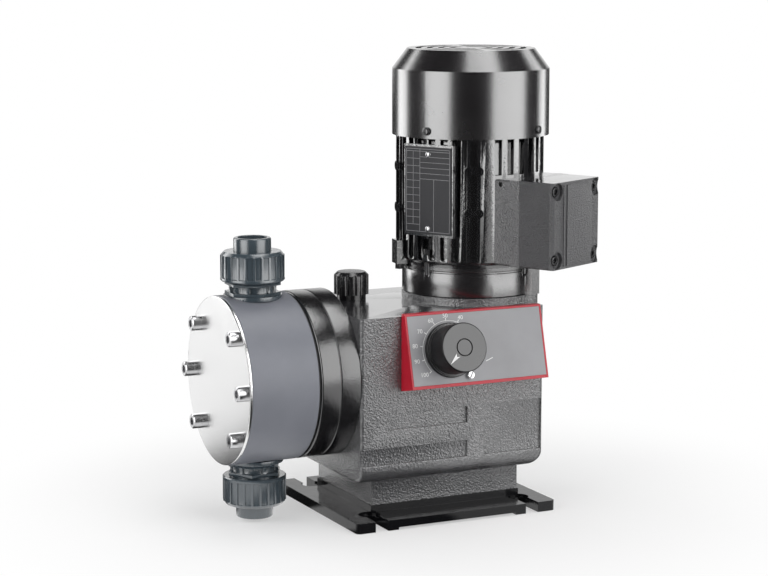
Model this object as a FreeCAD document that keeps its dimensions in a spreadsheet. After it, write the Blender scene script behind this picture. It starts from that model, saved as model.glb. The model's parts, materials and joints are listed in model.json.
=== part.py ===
import FreeCAD, Part
import Sketcher
import math
import os
from types import SimpleNamespace

# Diaphragm metering pump with a mechanical drive.
# The origin is the centre of the base plate's underside. +Z is up, the pump head
# points towards -X and the adjuster panel faces -Y.

DIMENSIONS = {
    # Fits
    "running_gap": 0.05,
    "seat_gap": 0.05,
    "passing_gap": 0.4,
    # Base plate
    "base_length": 193,
    "base_width": 174,
    "base_thickness": 9,
    "base_corner": 4,
    "relief_length": 114,
    "relief_inset": 10,
    "relief_depth": 2,
    "raised_seat_height": 6.5,
    "raised_seat_margin": 1,
    "slot_spacing": 146,
    "slot_width": 12,
    "slot_depth": 26,
    "spotface_radius": 9.5,
    "spotface_depth": 2.5,
    "base_screw_spacing": 100,
    "base_screw_spread": 76,
    "base_screw_radius": 4,
    "base_screw_head_radius": 6.5,
    "base_screw_head_height": 8,
    "base_screw_length": 22,
    # Gear housing
    "pedestal_length": 143,
    "pedestal_width": 112,
    "pedestal_offset": 3,
    "housing_front": 86,
    "housing_rear": 91,
    "housing_width": 145,
    "housing_drop": 87.9,
    "housing_rise": 56.6,
    "housing_wall": 8,
    "housing_floor": 10,
    "bottom_round": 14,
    "corner_round": 3,
    "recess_depth": 2.2,
    "bar_recess_length": 79,
    "bar_recess_height": 14.5,
    "bar_recess_end": 16,
    "upper_recess_start": 46.5,
    "lower_recess_start": 16.5,
    "square_recess_length": 57,
    "square_recess_height": 45,
    "square_recess_end": 89,
    "motor_x": 55.5,
    "motor_seat_radius": 61,
    "motor_seat_height": 6.9,
    "motor_skirt": 20,
    "motor_skirt_taper": 30,
    "motor_spigot_radius": 35,
    "motor_spigot_length": 6,
    "motor_screw_circle": 42.5,
    "motor_screw_radius": 3,
    "motor_screw_length": 24,
    "filler_x": 47.5,
    "filler_y": 30,
    "filler_hole_radius": 10,
    "filler_cap_radius": 15.5,
    "filler_cap_height": 20,
    "filler_collar_radius": 13,
    "filler_collar_height": 5,
    "filler_chamfer": 3,
    "filler_flutes": 14,
    "filler_flute_radius": 2.2,
    # Pump head on the pump axis
    "axis_height": 125.4,
    "ring_length": 36.1,
    "ring_radius": 73,
    "ring_bore_radius": 52,
    "ring_wall": 14,
    "ring_groove_depth": 0.6,
    "ring_groove_width": 1.2,
    "rim_thickness": 2,
    "diaphragm_radius": 71,
    "diaphragm_hub_radius": 26,
    "diaphragm_hub_front": 2,
    "diaphragm_hub_rear": 1,
    "diaphragm_wave": 3,
    "head_length": 60.8,
    "head_radius": 73,
    "chamber_radius": 50,
    "chamber_depth": 14,
    "cover_plate_thickness": 2.4,
    "cover_plate_radius": 72.7,
    "head_screw_circle": 61.4,
    "head_screw_radius": 4,
    "head_screw_head_radius": 6.5,
    "head_screw_head_height": 8,
    "head_screw_grip": 7,
    # Valves
    "valve_seat_height": 69.6,
    "valve_collar_radius": 25.2,
    "valve_collar_height": 3.5,
    "valve_flange_radius": 24.6,
    "valve_flange_thickness": 2.6,
    "valve_neck_radius": 18.5,
    "valve_neck_height": 5.6,
    "valve_thread_radius": 21,
    "valve_body_height": 28.6,
    "valve_spigot_radius": 14,
    "valve_spigot_length": 16,
    "valve_bore_radius": 4.5,
    "ball_chamber_radius": 7.5,
    "ball_radius": 6,
    "ball_lift": 3,
    "ball_clearance": 0.3,
    "seat_thickness": 4,
    "seat_radius": 10,
    "ring_seal_radius": 17,
    "ring_seal_section": 1.4,
    "nut_radius": 27.6,
    "nut_height": 25.4,
    "nut_start": 15.4,
    "suction_seat_level": 16.6,
    "nut_chamfer": 3,
    "nut_shoulder": 5.4,
    "nut_ribs": 24,
    "nut_rib_width": 1.7,
    "nut_rib_height": 1.2,
    "nut_band": 3,
    "tail_radius": 16.1,
    "tail_top": 52.5,
    "tail_collar_radius": 20.5,
    "tail_collar_height": 3.6,
    "socket_radius": 12.55,
    "socket_depth": 18.5,
    "pipe_bore_radius": 10,
    # Drive
    "centre_distance": 43,
    "gear_module": 2.75,
    "wheel_teeth": 24,
    "wheel_width": 10,
    "tooth_thickness": 2.9,
    "addendum": 1.3,
    "dedendum": 1.7,
    "worm_turns": 3,
    "worm_length": 36,
    "worm_bore_radius": 5,
    "eccentric_shaft_radius": 10,
    "eccentric_shaft_shoulder": 24,
    "bearing_bore_radius": 7.5,
    "bearing_radius": 17.5,
    "bearing_width": 11,
    "bearing_boss_radius": 22,
    "bearing_boss_length": 12,
    "cam_radius": 20,
    "cam_offset": 5,
    "cam_start": 9,
    "cam_width": 12,
    "bearing_cover_radius": 32,
    "bearing_cover_thickness": 6,
    "bearing_cover_spigot": 14,
    "cover_screw_circle": 27,
    "cover_screw_radius": 2.5,
    "crosshead_gap": 7,
    "crosshead_thickness": 6,
    "crosshead_height": 30,
    "arm_height": 20,
    "rod_radius": 8,
    "rod_stud_radius": 5,
    "guide_boss_radius": 22,
    "guide_boss_length": 16,
    "bush_radius": 12,
    "bush_length": 20,
    "seal_radius": 13,
    "seal_width": 6,
    "support_disc_radius": 40,
    "support_disc_thickness": 6,
    "spring_radius": 13.5,
    "spring_wire_radius": 1.5,
    "spring_turns": 4,
    # Adjuster panel
    "panel_left": 48,
    "panel_right": 84,
    "panel_above": 32.2,
    "panel_below": 30.1,
    "panel_top_depth": 5.8,
    "panel_bottom_depth": 22.1,
    "panel_rear_drop": 4.9,
    "panel_wall": 3,
    "panel_rim": 1.8,
    "dial_thickness": 1.2,
    "knob_x": 9,
    "knob_rise": 26.6,
    "knob_radius": 21.2,
    "knob_front": 28.3,
    "knob_gap": 0.6,
    "knob_skirt_radius": 23.6,
    "knob_skirt_height": 3,
    "knob_step_radius": 22.4,
    "knob_step_height": 2,
    "knob_chamfer": 0.8,
    "knob_cap_radius": 7,
    "knob_cap_thickness": 2,
    "spindle_radius": 5,
    "spindle_length": 62,
    "stop_radius": 8,
    "stop_offset": 2.5,
    "stop_length": 8,
    "adjuster_bush_radius": 9,
    "lock_screw_x": 16.6,
    "lock_screw_y": 22.7,
    "lock_screw_radius": 3.6,
    # Motor
    "shield_radius": 60.5,
    "shield_height": 26.1,
    "shield_floor": 12,
    "shield_lug_angle": -57.5,
    "shield_lug_reach": 67,
    "shaft_hole_radius": 9,
    "motor_radius": 65,
    "motor_bore_radius": 52,
    "motor_height": 115,
    "fin_count": 34,
    "groove_width": 6.5,
    "groove_depth": 5,
    "groove_start": 9.5,
    "groove_phase": -127.7,
    "strip_start": -121,
    "strip_spread": 20.5,
    "rail_angle": -152.5,
    "rail_spread": 37.5,
    "rail_width": 12,
    "rail_height": 2,
    "rail_boss_radius": 4.1,
    "rail_boss_offset": 4.3,
    "rail_hole_radius": 2.4,
    "plate_angle": -151,
    "plate_width": 48,
    "plate_height": 76,
    "plate_start": 30,
    "plate_distance": 66,
    "plate_thickness": 0.8,
    "rivet_radius": 2.6,
    "shield_screw_angle": -155.7,
    "shield_screw_circle": 60,
    "shield_screw_radius": 2.5,
    "earth_angle": -187.5,
    "earth_circle": 66,
    "stator_length": 70,
    "stator_start": 20,
    "rotor_radius": 31.5,
    "rotor_shaft_radius": 9,
    "stator_inner_radius": 32,
    "winding_radius": 48,
    "winding_length": 14,
    "fan_shield_height": 8,
    "fan_shield_radius": 62,
    "fan_cover_radius": 69.5,
    "fan_cover_wall": 1.5,
    "fan_cover_overlap": 1.7,
    "fan_cover_shoulder": 58.2,
    "fan_cover_height": 75.6,
    "fan_cover_top_radius": 56.6,
    "fan_cover_screw_angle": -150.5,
    "fan_cover_screw_level": 4.8,
    "fan_radius": 57,
    "fan_height": 24,
    "fan_start": 12,
    "fan_blades": 7,
    "shaft_top": 40,
    # Terminal box
    "box_angle": -63.8,
    "box_width": 74.4,
    "box_height": 75,
    "box_start": 4,
    "box_inner": 48.7,
    "box_seam": 79.1,
    "box_outer": 114.3,
    "box_wall": 4,
    "box_floor": 70,
    "box_pad_spread": 41,
    "box_pad_angle": -66.5,
    "box_pad_height": 82,
    "box_round": 2,
    "box_chamfer": 3.3,
    "box_screw_inset": 8,
    "box_screw_radius": 2.5,
    "box_screw_head_radius": 4.25,
    "box_screw_recess": 6,
    "box_spotface_radius": 7.5,
    "box_spotface_depth": 3,
    "lid_panel_height": 0.8,
    "lid_panel_inset": 14,
    "lid_panel_margin": 2.5,
    "lid_bead_inset": 16.5,
    "lid_bead_width": 2.2,
    "lid_bead_gap": 3,
    "box_hole_radius": 2.2,
    "box_hole_inset": 4.2,
    "plug_radius": 8,
}

doc = FreeCAD.newDocument("metering_pump")
sheet = doc.addObject("Spreadsheet::Sheet", "Dimensions")


class Size(float):
    """A length or angle that keeps the spreadsheet formula it comes from."""

    def __new__(cls, value, formula=None):
        size = float.__new__(cls, value)
        size.formula = formula or repr(float(value))
        return size

    def joined(self, other, sign, value, swap=False):
        texts = [self.formula, Size(other).formula if not isinstance(other, Size) else other.formula]
        if swap:
            texts.reverse()
        return Size(value, f"({texts[0]} {sign} {texts[1]})")

    def __add__(self, other):
        return self.joined(other, "+", float(self) + float(other))

    def __radd__(self, other):
        return self.joined(other, "+", float(other) + float(self), swap=True)

    def __sub__(self, other):
        return self.joined(other, "-", float(self) - float(other))

    def __rsub__(self, other):
        return self.joined(other, "-", float(other) - float(self), swap=True)

    def __mul__(self, other):
        return self.joined(other, "*", float(self) * float(other))

    def __rmul__(self, other):
        return self.joined(other, "*", float(other) * float(self), swap=True)

    def __truediv__(self, other):
        return self.joined(other, "/", float(self) / float(other))

    def __neg__(self):
        return Size(-float(self), f"(-1 * {self.formula})")


def fill_sheet():
    """Write every driving dimension to the sheet and hand it back as a named size."""
    named = {}
    for row, (name, number) in enumerate(DIMENSIONS.items(), start=1):
        sheet.set(f"A{row}", name)
        sheet.set(f"B{row}", str(number))
        sheet.setAlias(f"B{row}", name)
        named[name] = Size(number, f"Dimensions.{name}")
    doc.recompute()
    return SimpleNamespace(**named)


d = fill_sheet()
pieces = []


def bind(thing, prop, size):
    """Tie a property to the sheet when its size comes from there."""
    if isinstance(size, Size):
        thing.setExpression(prop, size.formula)


def new_body(label, at=(0, 0, 0), turn=FreeCAD.Rotation()):
    body = doc.addObject("PartDesign::Body", label)
    body.Label = label
    body.Placement = FreeCAD.Placement(FreeCAD.Vector(*[float(value) for value in at]), turn)
    for axis, value in zip("xyz", at):
        bind(body, f"Placement.Base.{axis}", value)
    pieces.append(body)
    return body


def origin_feature(body, role):
    return next(item for item in body.Origin.OriginFeatures if item.Role == role)


def ring_of(x, y, radius):
    """A circular loop for a sketch."""
    return ("circle", x, y, radius)


def box_of(x_low, y_low, x_high, y_high):
    """A rectangular loop for a sketch."""
    return [(x_low, y_low), (x_high, y_low), (x_high, y_high), (x_low, y_high)]


def draw_polygon(sketch, points):
    first = sketch.GeometryCount
    count = len(points)
    corners = [FreeCAD.Vector(float(x), float(y), 0) for x, y in points]
    for index in range(count):
        sketch.addGeometry(Part.LineSegment(corners[index], corners[(index + 1) % count]))
    for index in range(count):
        follower = first + (index + 1) % count
        sketch.addConstraint(Sketcher.Constraint("Coincident", first + index, 2, follower, 1))
    for index, point in enumerate(points):
        for kind, value in zip(("DistanceX", "DistanceY"), point):
            number = sketch.addConstraint(
                Sketcher.Constraint(kind, -1, 1, first + index, 1, float(value)))
            bind(sketch, f"Constraints[{number}]", value)


def draw_circle(sketch, x, y, radius):
    centre = FreeCAD.Vector(float(x), float(y), 0)
    circle = sketch.addGeometry(Part.Circle(centre, FreeCAD.Vector(0, 0, 1), float(radius)))
    number = sketch.addConstraint(Sketcher.Constraint("Radius", circle, float(radius)))
    bind(sketch, f"Constraints[{number}]", radius)
    for kind, value in (("DistanceX", x), ("DistanceY", y)):
        number = sketch.addConstraint(Sketcher.Constraint(kind, -1, 1, circle, 3, float(value)))
        bind(sketch, f"Constraints[{number}]", value)


def draw(body, plane, loops, offset=0.0, turn=0.0):
    """A sketch of closed loops, parallel to one of the body's own planes."""
    sketch = body.newObject("Sketcher::SketchObject", f"{body.Name}_sketch")
    sketch.AttachmentSupport = [(origin_feature(body, f"{plane}_Plane"), "")]
    sketch.MapMode = "FlatFace"
    about = {"XY": (0, 0, 1), "XZ": (0, 1, 0), "YZ": (1, 0, 0)}[plane]
    tilt = FreeCAD.Rotation(FreeCAD.Vector(*about), float(turn))
    sketch.AttachmentOffset = FreeCAD.Placement(FreeCAD.Vector(0, 0, float(offset)), tilt)
    bind(sketch, "AttachmentOffset.Base.z", offset)
    for loop in loops:
        if loop[0] == "circle":
            draw_circle(sketch, *loop[1:])
        else:
            draw_polygon(sketch, loop)
    return sketch


def extrude(body, kind, plane, loops, low, high):
    """Pad or pocket the loops between two heights along the plane's axis."""
    if kind == "Pad":
        offset = -high if plane == "XZ" else low
    else:
        offset = -low if plane == "XZ" else high
    sketch = draw(body, plane, loops, offset)
    feature = body.newObject(f"PartDesign::{kind}", f"{body.Name}_{kind}")
    feature.Profile = sketch
    feature.Length = float(high - low)
    bind(feature, "Length", high - low)
    return feature


def add(body, plane, loops, low, high):
    return extrude(body, "Pad", plane, loops, low, high)


def cut(body, plane, loops, low, high):
    return extrude(body, "Pocket", plane, loops, low, high)


def turned(body, kind, axis, points, centre=0.0, angle=360.0, turn=0.0):
    """Revolve a profile about the body's X axis (x, r), Y axis (r, y) or Z axis (r, z).

    A profile about Z may stand at a centre along X and start at a turn about Z.
    """
    plane = "XY" if axis == "Y" else "XZ"
    sketch = body.newObject("Sketcher::SketchObject", f"{body.Name}_profile")
    sketch.AttachmentSupport = [(origin_feature(body, f"{plane}_Plane"), "")]
    sketch.MapMode = "FlatFace"
    sketch.AttachmentOffset = FreeCAD.Placement(
        FreeCAD.Vector(float(centre), 0, 0), FreeCAD.Rotation(FreeCAD.Vector(0, 1, 0), float(turn)))
    bind(sketch, "AttachmentOffset.Base.x", centre)
    draw_polygon(sketch, points)
    feature = body.newObject(f"PartDesign::{kind}", f"{body.Name}_{kind}")
    feature.Profile = sketch
    feature.ReferenceAxis = (sketch, ["H_Axis" if axis == "X" else "V_Axis"])
    feature.Angle = angle
    return feature


def spin(body, axis, points, **extra):
    return turned(body, "Revolution", axis, points, **extra)


def groove(body, axis, points, **extra):
    return turned(body, "Groove", axis, points, **extra)


def around(body, features, count, axis="Z", angle=360.0):
    """Repeat features about one of the body's axes."""
    pattern = body.newObject("PartDesign::PolarPattern", f"{body.Name}_pattern")
    pattern.Originals = features
    pattern.Axis = (origin_feature(body, f"{axis}_Axis"), [""])
    pattern.Angle = angle
    pattern.Occurrences = int(count)
    body.Tip = pattern
    return pattern


def mirrored(body, features, plane):
    mirror = body.newObject("PartDesign::Mirrored", f"{body.Name}_mirror")
    mirror.Originals = features
    mirror.MirrorPlane = (origin_feature(body, f"{plane}_Plane"), [""])
    body.Tip = mirror
    return mirror


def soften(body, radius, wanted, kind="Fillet"):
    """Round or bevel the edges of the body so far for which wanted(edge) is true."""
    doc.recompute()
    before = body.Tip
    names = [f"Edge{index}" for index, edge in enumerate(before.Shape.Edges, start=1)
             if wanted(edge)]
    feature = body.newObject(f"PartDesign::{kind}", f"{body.Name}_{kind}")
    feature.Base = (before, names)
    prop = "Radius" if kind == "Fillet" else "Size"
    setattr(feature, prop, float(radius))
    bind(feature, prop, radius)
    return feature


def runs_along(edge, axis):
    """True for a straight edge along the given direction."""
    if not isinstance(edge.Curve, Part.Line):
        return False
    way = edge.Curve.Direction
    return abs(way.dot(FreeCAD.Vector(*axis))) > 0.999


def middle(edge):
    return edge.CenterOfMass


def turn_about(axis, degrees):
    return FreeCAD.Rotation(FreeCAD.Vector(*axis), float(degrees))


def hexagon(radius, turn=0.0):
    """Corner points of a hexagon, its first corner at the given angle."""
    corners = []
    for index in range(6):
        angle = math.radians(60 * index + turn)
        corners.append((radius * math.cos(angle), radius * math.sin(angle)))
    return corners


def hex_prism(radius, height, base=0.0):
    corners = [FreeCAD.Vector(float(x), float(y), base) for x, y in hexagon(radius)]
    face = Part.Face(Part.makePolygon(corners + corners[:1]))
    return face.extrude(FreeCAD.Vector(0, 0, height))


def socket_screw(radius, length, head_radius, head_height):
    """Cap screw standing on Z = 0 with its shank downwards."""
    radius, length, head_radius, head_height = map(float, (radius, length, head_radius, head_height))
    edge = 0.1 * head_height
    head = Part.makeCylinder(head_radius, head_height - edge)
    bevel = Part.makeCone(head_radius, head_radius - edge, edge, FreeCAD.Vector(0, 0, head_height - edge))
    shank = Part.makeCylinder(radius, length, FreeCAD.Vector(0, 0, -length))
    socket = hex_prism(0.95 * radius, 0.6 * head_height, 0.4 * head_height)
    return head.fuse([bevel, shank]).cut(socket).removeSplitter()


def hex_screw(radius, length, head_radius, head_height):
    """Hexagon screw standing on Z = 0 with its shank downwards."""
    shank = Part.makeCylinder(float(radius), float(length), FreeCAD.Vector(0, 0, -float(length)))
    return hex_prism(float(head_radius), float(head_height)).fuse(shank).removeSplitter()


def group(label, shape, places):
    """Several like solids in one node, or one solid at one place."""
    solids = []
    for place in places:
        solid = shape.copy()
        solid.Placement = place
        solids.append(solid)
    feature = doc.addObject("Part::Feature", label)
    feature.Label = label
    feature.Shape = Part.makeCompound(solids) if len(solids) > 1 else solids[0]
    pieces.append(feature)
    return feature


def place_at(x, y, z, turn=FreeCAD.Rotation()):
    return FreeCAD.Placement(FreeCAD.Vector(float(x), float(y), float(z)), turn)


def sine(degrees):
    return Size(math.sin(math.radians(degrees)), f"sin({degrees.formula})")


def cosine(degrees):
    return Size(math.cos(math.radians(degrees)), f"cos({degrees.formula})")


# Levels and stations that several pieces share

seat_top = d.base_thickness + d.raised_seat_height
housing_bottom = d.axis_height - d.housing_drop
housing_top = d.axis_height + d.housing_rise
motor_foot = housing_top + d.motor_seat_height
half_width = d.housing_width / 2
inner_front = d.housing_wall - d.housing_front
inner_rear = d.housing_rear - d.housing_wall
inner_half = half_width - d.housing_wall
inner_top = housing_top - d.housing_wall
knob_height = d.axis_height + d.knob_rise
panel_top = knob_height + d.panel_above
panel_bottom = knob_height - d.panel_below
ring_front = -d.housing_front - d.ring_length
head_rear = ring_front - d.rim_thickness
head_front = head_rear - d.head_length
cover_front = head_front - d.cover_plate_thickness
valve_x = head_rear - d.head_length / 2
gear_x = d.motor_x - d.centre_distance
wheel_pitch_radius = d.gear_module * d.wheel_teeth / 2
wheel_tip_radius = wheel_pitch_radius + d.addendum
wheel_root_radius = wheel_pitch_radius - d.dedendum
worm_pitch_radius = d.centre_distance - wheel_pitch_radius
worm_lead = d.gear_module * math.pi
crosshead_rear = gear_x - wheel_tip_radius - d.crosshead_gap
crosshead_front = crosshead_rear - d.crosshead_thickness
arm_end = gear_x - d.cam_radius - d.cam_offset - d.passing_gap
guide_end = inner_front + d.guide_boss_length
disc_front = ring_front + d.diaphragm_hub_rear
disc_rear = disc_front + d.support_disc_thickness
far_bearing_start = half_width - d.bearing_cover_spigot + 1
near_bearing_start = d.bearing_boss_length - inner_half - d.bearing_width


# Base plate: black casting with a flat underside relieved along its long edges,
# a raised seat for the pedestal and four slots open to the long edges.

half_base_length = d.base_length / 2
half_base_width = d.base_width / 2
slot_x = d.slot_spacing / 2
slot_y = half_base_width - d.slot_depth
pedestal_low = d.pedestal_offset - d.pedestal_length / 2
pedestal_high = d.pedestal_offset + d.pedestal_length / 2
half_pedestal = d.pedestal_width / 2
screw_places = [(d.pedestal_offset + side * d.base_screw_spacing / 2, end * d.base_screw_spread / 2)
                for side in (-1, 1) for end in (-1, 1)]


def make_base_plate():
    body = new_body("base_plate")
    add(body, "XY", [box_of(-half_base_length, -half_base_width, half_base_length, half_base_width)],
        Size(0), d.base_thickness)
    soften(body, d.base_corner, lambda edge: runs_along(edge, (0, 0, 1)))
    margin = d.raised_seat_margin
    add(body, "XY", [box_of(pedestal_low - margin, -half_pedestal - margin,
                            pedestal_high + margin, half_pedestal + margin)],
        Size(0), seat_top)
    half_relief = d.relief_length / 2
    relief = cut(body, "XY", [box_of(-half_relief, -half_base_width - 1, half_relief,
                                     d.relief_inset - half_base_width)], Size(0), d.relief_depth)
    mirrored(body, [relief], "XZ")
    half_slot = d.slot_width / 2
    for side in (-1, 1):
        slot = cut(body, "XY", [box_of(side * slot_x - half_slot, -half_base_width - 1,
                                       side * slot_x + half_slot, -slot_y)],
                   Size(0), d.base_thickness)
        slot_end = cut(body, "XY", [ring_of(side * slot_x, -slot_y, half_slot)],
                       Size(0), d.base_thickness)
        spotface = cut(body, "XY", [ring_of(side * slot_x, -slot_y, d.spotface_radius)],
                       d.base_thickness - d.spotface_depth, d.base_thickness)
        mirrored(body, [slot, slot_end, spotface], "XZ")
    clearance = d.base_screw_radius + d.seat_gap
    counterbore = d.base_screw_head_radius + d.passing_gap
    cut(body, "XY", [ring_of(x, y, clearance) for x, y in screw_places], Size(0), seat_top)
    cut(body, "XY", [ring_of(x, y, counterbore) for x, y in screw_places],
        Size(0), d.base_screw_head_height + d.passing_gap)


def make_base_screws():
    screw = socket_screw(d.base_screw_radius, d.base_screw_length,
                         d.base_screw_head_radius, d.base_screw_head_height)
    upside_down = turn_about((1, 0, 0), 180)
    level = d.base_screw_head_height + d.passing_gap
    group("base_screws", screw, [place_at(x, y, level, upside_down) for x, y in screw_places])


# Gear housing: one casting with the pedestal, a round seat for the motor that
# overhangs the rear wall, recessed panels in both sides and an oil-filled inside.

def housing_recesses(body):
    """Shallow pockets in the near side, repeated on the far side."""
    bar_start = d.bar_recess_end - d.bar_recess_length
    high = housing_bottom + d.upper_recess_start
    low = housing_bottom + d.lower_recess_start
    upper = box_of(bar_start, high, d.bar_recess_end, high + d.bar_recess_height)
    lower = box_of(-d.housing_front - 1, low, d.bar_recess_end, low + d.bar_recess_height)
    square = box_of(d.square_recess_end - d.square_recess_length, low,
                    d.square_recess_end, low + d.square_recess_height)
    pocket = cut(body, "XZ", [upper, lower, square], -half_width, d.recess_depth - half_width)
    mirrored(body, [pocket], "XZ")


def motor_seat(body):
    """Round seat whose overhanging part tapers back into the rear wall."""
    low = housing_top - d.motor_skirt
    tail = low - d.motor_skirt_taper
    neck = d.housing_rear - d.motor_x - 1
    spin(body, "Z", [(Size(0), tail), (neck, tail), (d.motor_seat_radius, low),
                     (d.motor_seat_radius, motor_foot), (Size(0), motor_foot)], centre=d.motor_x)


def make_gear_housing():
    body = new_body("gear_housing")
    add(body, "XY", [box_of(-d.housing_front, -half_width, d.housing_rear, half_width)],
        housing_bottom, housing_top)

    def lower_edge(edge):
        low = abs(middle(edge).z - housing_bottom) < 0.1
        return low and middle(edge).x > 0.1 - d.housing_front

    soften(body, d.bottom_round, lower_edge)
    soften(body, d.corner_round, lambda edge: runs_along(edge, (0, 0, 1)))
    add(body, "XY", [box_of(pedestal_low, -half_pedestal, pedestal_high, half_pedestal)],
        seat_top, housing_bottom + d.housing_floor / 2)
    motor_seat(body)
    housing_recesses(body)
    cut(body, "XY", [box_of(inner_front, -inner_half, inner_rear, inner_half)],
        housing_bottom + d.housing_floor, inner_top)
    add(body, "YZ", [ring_of(Size(0), d.axis_height, d.guide_boss_radius)],
        inner_front - 1, guide_end)
    add(body, "XZ", [ring_of(gear_x, d.axis_height, d.bearing_boss_radius)],
        -inner_half - 1, d.bearing_boss_length - inner_half)
    cut(body, "YZ", [ring_of(Size(0), d.axis_height, d.bush_radius + d.seat_gap)],
        -d.housing_front, guide_end)
    cut(body, "XZ", [ring_of(gear_x, d.axis_height, d.bearing_radius + d.seat_gap)],
        near_bearing_start, d.bearing_boss_length - inner_half)
    cut(body, "XZ", [ring_of(gear_x, d.axis_height, d.bearing_boss_radius + d.seat_gap)],
        inner_half - 1, half_width)
    cut(body, "XZ", [ring_of(gear_x + x, d.axis_height + z, d.cover_screw_radius + d.seat_gap)
                     for x, z in diagonal(d.cover_screw_circle)], inner_half, half_width)
    cut(body, "XY", [ring_of(d.motor_x, Size(0), d.motor_spigot_radius + d.seat_gap)],
        inner_top - 1, motor_foot)
    cut(body, "XY", [ring_of(d.motor_x + x, y, d.motor_screw_radius + d.seat_gap)
                     for x, y in crossed(d.motor_screw_circle)], inner_top - 1, motor_foot)
    cut(body, "XY", [ring_of(d.motor_x + d.motor_screw_circle, Size(0), 2 * d.motor_screw_radius)],
        housing_top - d.motor_skirt - d.motor_skirt_taper, inner_top)
    cut(body, "XY", [ring_of(-d.filler_x, d.filler_y, d.filler_hole_radius)],
        inner_top - 1, housing_top)
    cut(body, "YZ", [ring_of(y, d.axis_height + z, d.head_screw_radius + d.seat_gap)
                     for y, z in head_screw_places()], -d.housing_front,
        d.head_screw_grip + 0.5 - d.housing_front)
    cut(body, "XY", [ring_of(x, y, d.base_screw_radius + d.seat_gap) for x, y in screw_places],
        seat_top, seat_top + d.base_screw_length - d.raised_seat_height + 2)
    cut_on_panel(body, [ring_of(Size(0), Size(0), d.adjuster_bush_radius + d.seat_gap)], 27)


def diagonal(radius):
    """Four places on a circle, halfway between the axes."""
    reach = radius * math.sqrt(0.5)
    return [(side * reach, end * reach) for side in (-1, 1) for end in (-1, 1)]


def crossed(radius):
    """Four places on a circle, on the axes."""
    return [(radius, Size(0)), (-radius, Size(0)), (Size(0), radius), (Size(0), -radius)]


def head_screw_places():
    """Six of the eight places on the screw circle: the top and bottom ones stay free."""
    places = diagonal(d.head_screw_circle)
    return places + [(-d.head_screw_circle, Size(0)), (d.head_screw_circle, Size(0))]


# Panel frame: x to the right, y up along the sloping face, z out of it

panel_rise = panel_top - panel_bottom
panel_run = d.panel_bottom_depth - d.panel_top_depth
panel_tilt = math.degrees(math.atan2(panel_run, panel_rise))
panel_length = math.hypot(panel_run, panel_rise)
panel_turn = turn_about((1, 0, 0), 90 - panel_tilt)
knob_drop = panel_top - knob_height
knob_y = -half_width - d.panel_top_depth - knob_drop * panel_run / panel_rise
knob_base = (-d.knob_x, knob_y, knob_height)


def cut_on_panel(body, loops, depth):
    """Pocket square to the panel's face, in a body drawn in the pump's own frame."""
    sketch = body.newObject("Sketcher::SketchObject", f"{body.Name}_face")
    sketch.AttachmentSupport = [(origin_feature(body, "XY_Plane"), "")]
    sketch.MapMode = "FlatFace"
    sketch.AttachmentOffset = FreeCAD.Placement(
        FreeCAD.Vector(*[float(value) for value in knob_base]), panel_turn)
    for axis, value in zip("xyz", knob_base):
        bind(sketch, f"AttachmentOffset.Base.{axis}", value)
    for loop in loops:
        if loop[0] == "circle":
            draw_circle(sketch, *loop[1:])
        else:
            draw_polygon(sketch, loop)
    pocket = body.newObject("PartDesign::Pocket", f"{body.Name}_rebate")
    pocket.Profile = sketch
    pocket.Length = float(depth)
    bind(pocket, "Length", depth)


def make_filler_cap():
    body = new_body("filler_cap", (-d.filler_x, d.filler_y, housing_top))
    top = d.filler_collar_height + d.filler_cap_height
    stem = d.filler_hole_radius - d.passing_gap
    spin(body, "Z", [
        (Size(0), -d.housing_wall), (stem, -d.housing_wall), (stem, Size(0)),
        (d.filler_collar_radius, Size(0)), (d.filler_collar_radius, d.filler_collar_height),
        (d.filler_cap_radius, d.filler_collar_height),
        (d.filler_cap_radius, top - d.filler_chamfer),
        (d.filler_cap_radius - d.filler_chamfer, top), (Size(0), top)])
    reach = d.filler_cap_radius + d.filler_flute_radius / 2
    flute = cut(body, "XY", [ring_of(reach, Size(0), d.filler_flute_radius)],
                d.filler_collar_height, top)
    around(body, [flute], d.filler_flutes)


# Bearing cover on the far side, with the shaft's far bearing in its spigot

def make_bearing_cover():
    body = new_body("bearing_cover", (gear_x, 0, d.axis_height))
    pocket = d.bearing_radius + d.seat_gap
    outer = half_width + d.bearing_cover_thickness
    spin(body, "Y", [
        (Size(0), outer), (d.bearing_cover_radius - 1, outer), (d.bearing_cover_radius, outer - 1),
        (d.bearing_cover_radius, half_width), (d.bearing_boss_radius, half_width),
        (d.bearing_boss_radius, half_width - d.bearing_cover_spigot),
        (pocket, half_width - d.bearing_cover_spigot),
        (pocket, far_bearing_start + d.bearing_width), (Size(0), far_bearing_start + d.bearing_width)])
    cut(body, "XZ", [ring_of(x, z, d.cover_screw_radius + d.seat_gap)
                     for x, z in diagonal(d.cover_screw_circle)], half_width, outer)


def make_bearing_cover_screws():
    screw = socket_screw(d.cover_screw_radius, d.bearing_cover_thickness + d.housing_wall - 1,
                         1.7 * d.cover_screw_radius, 2 * d.cover_screw_radius)
    outwards = turn_about((1, 0, 0), -90)
    face = half_width + d.bearing_cover_thickness
    group("bearing_cover_screws", screw,
          [place_at(gear_x + x, face, d.axis_height + z, outwards)
           for x, z in diagonal(d.cover_screw_circle)])


def bearing_ring():
    """Ball bearing drawn as two races with a shield between them."""
    bore, outer, width = float(d.bearing_bore_radius), float(d.bearing_radius), float(d.bearing_width)
    race = 0.25 * (outer - bore)
    profile = [(bore, 0), (bore + race, 0), (bore + race, 0.7), (outer - race, 0.7),
               (outer - race, 0), (outer, 0), (outer, width), (outer - race, width),
               (outer - race, width - 0.7), (bore + race, width - 0.7), (bore + race, width),
               (bore, width)]
    wire = Part.makePolygon([FreeCAD.Vector(r, 0, z) for r, z in profile + profile[:1]])
    return Part.Face(wire).revolve(FreeCAD.Vector(), FreeCAD.Vector(0, 0, 1), 360)


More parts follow.
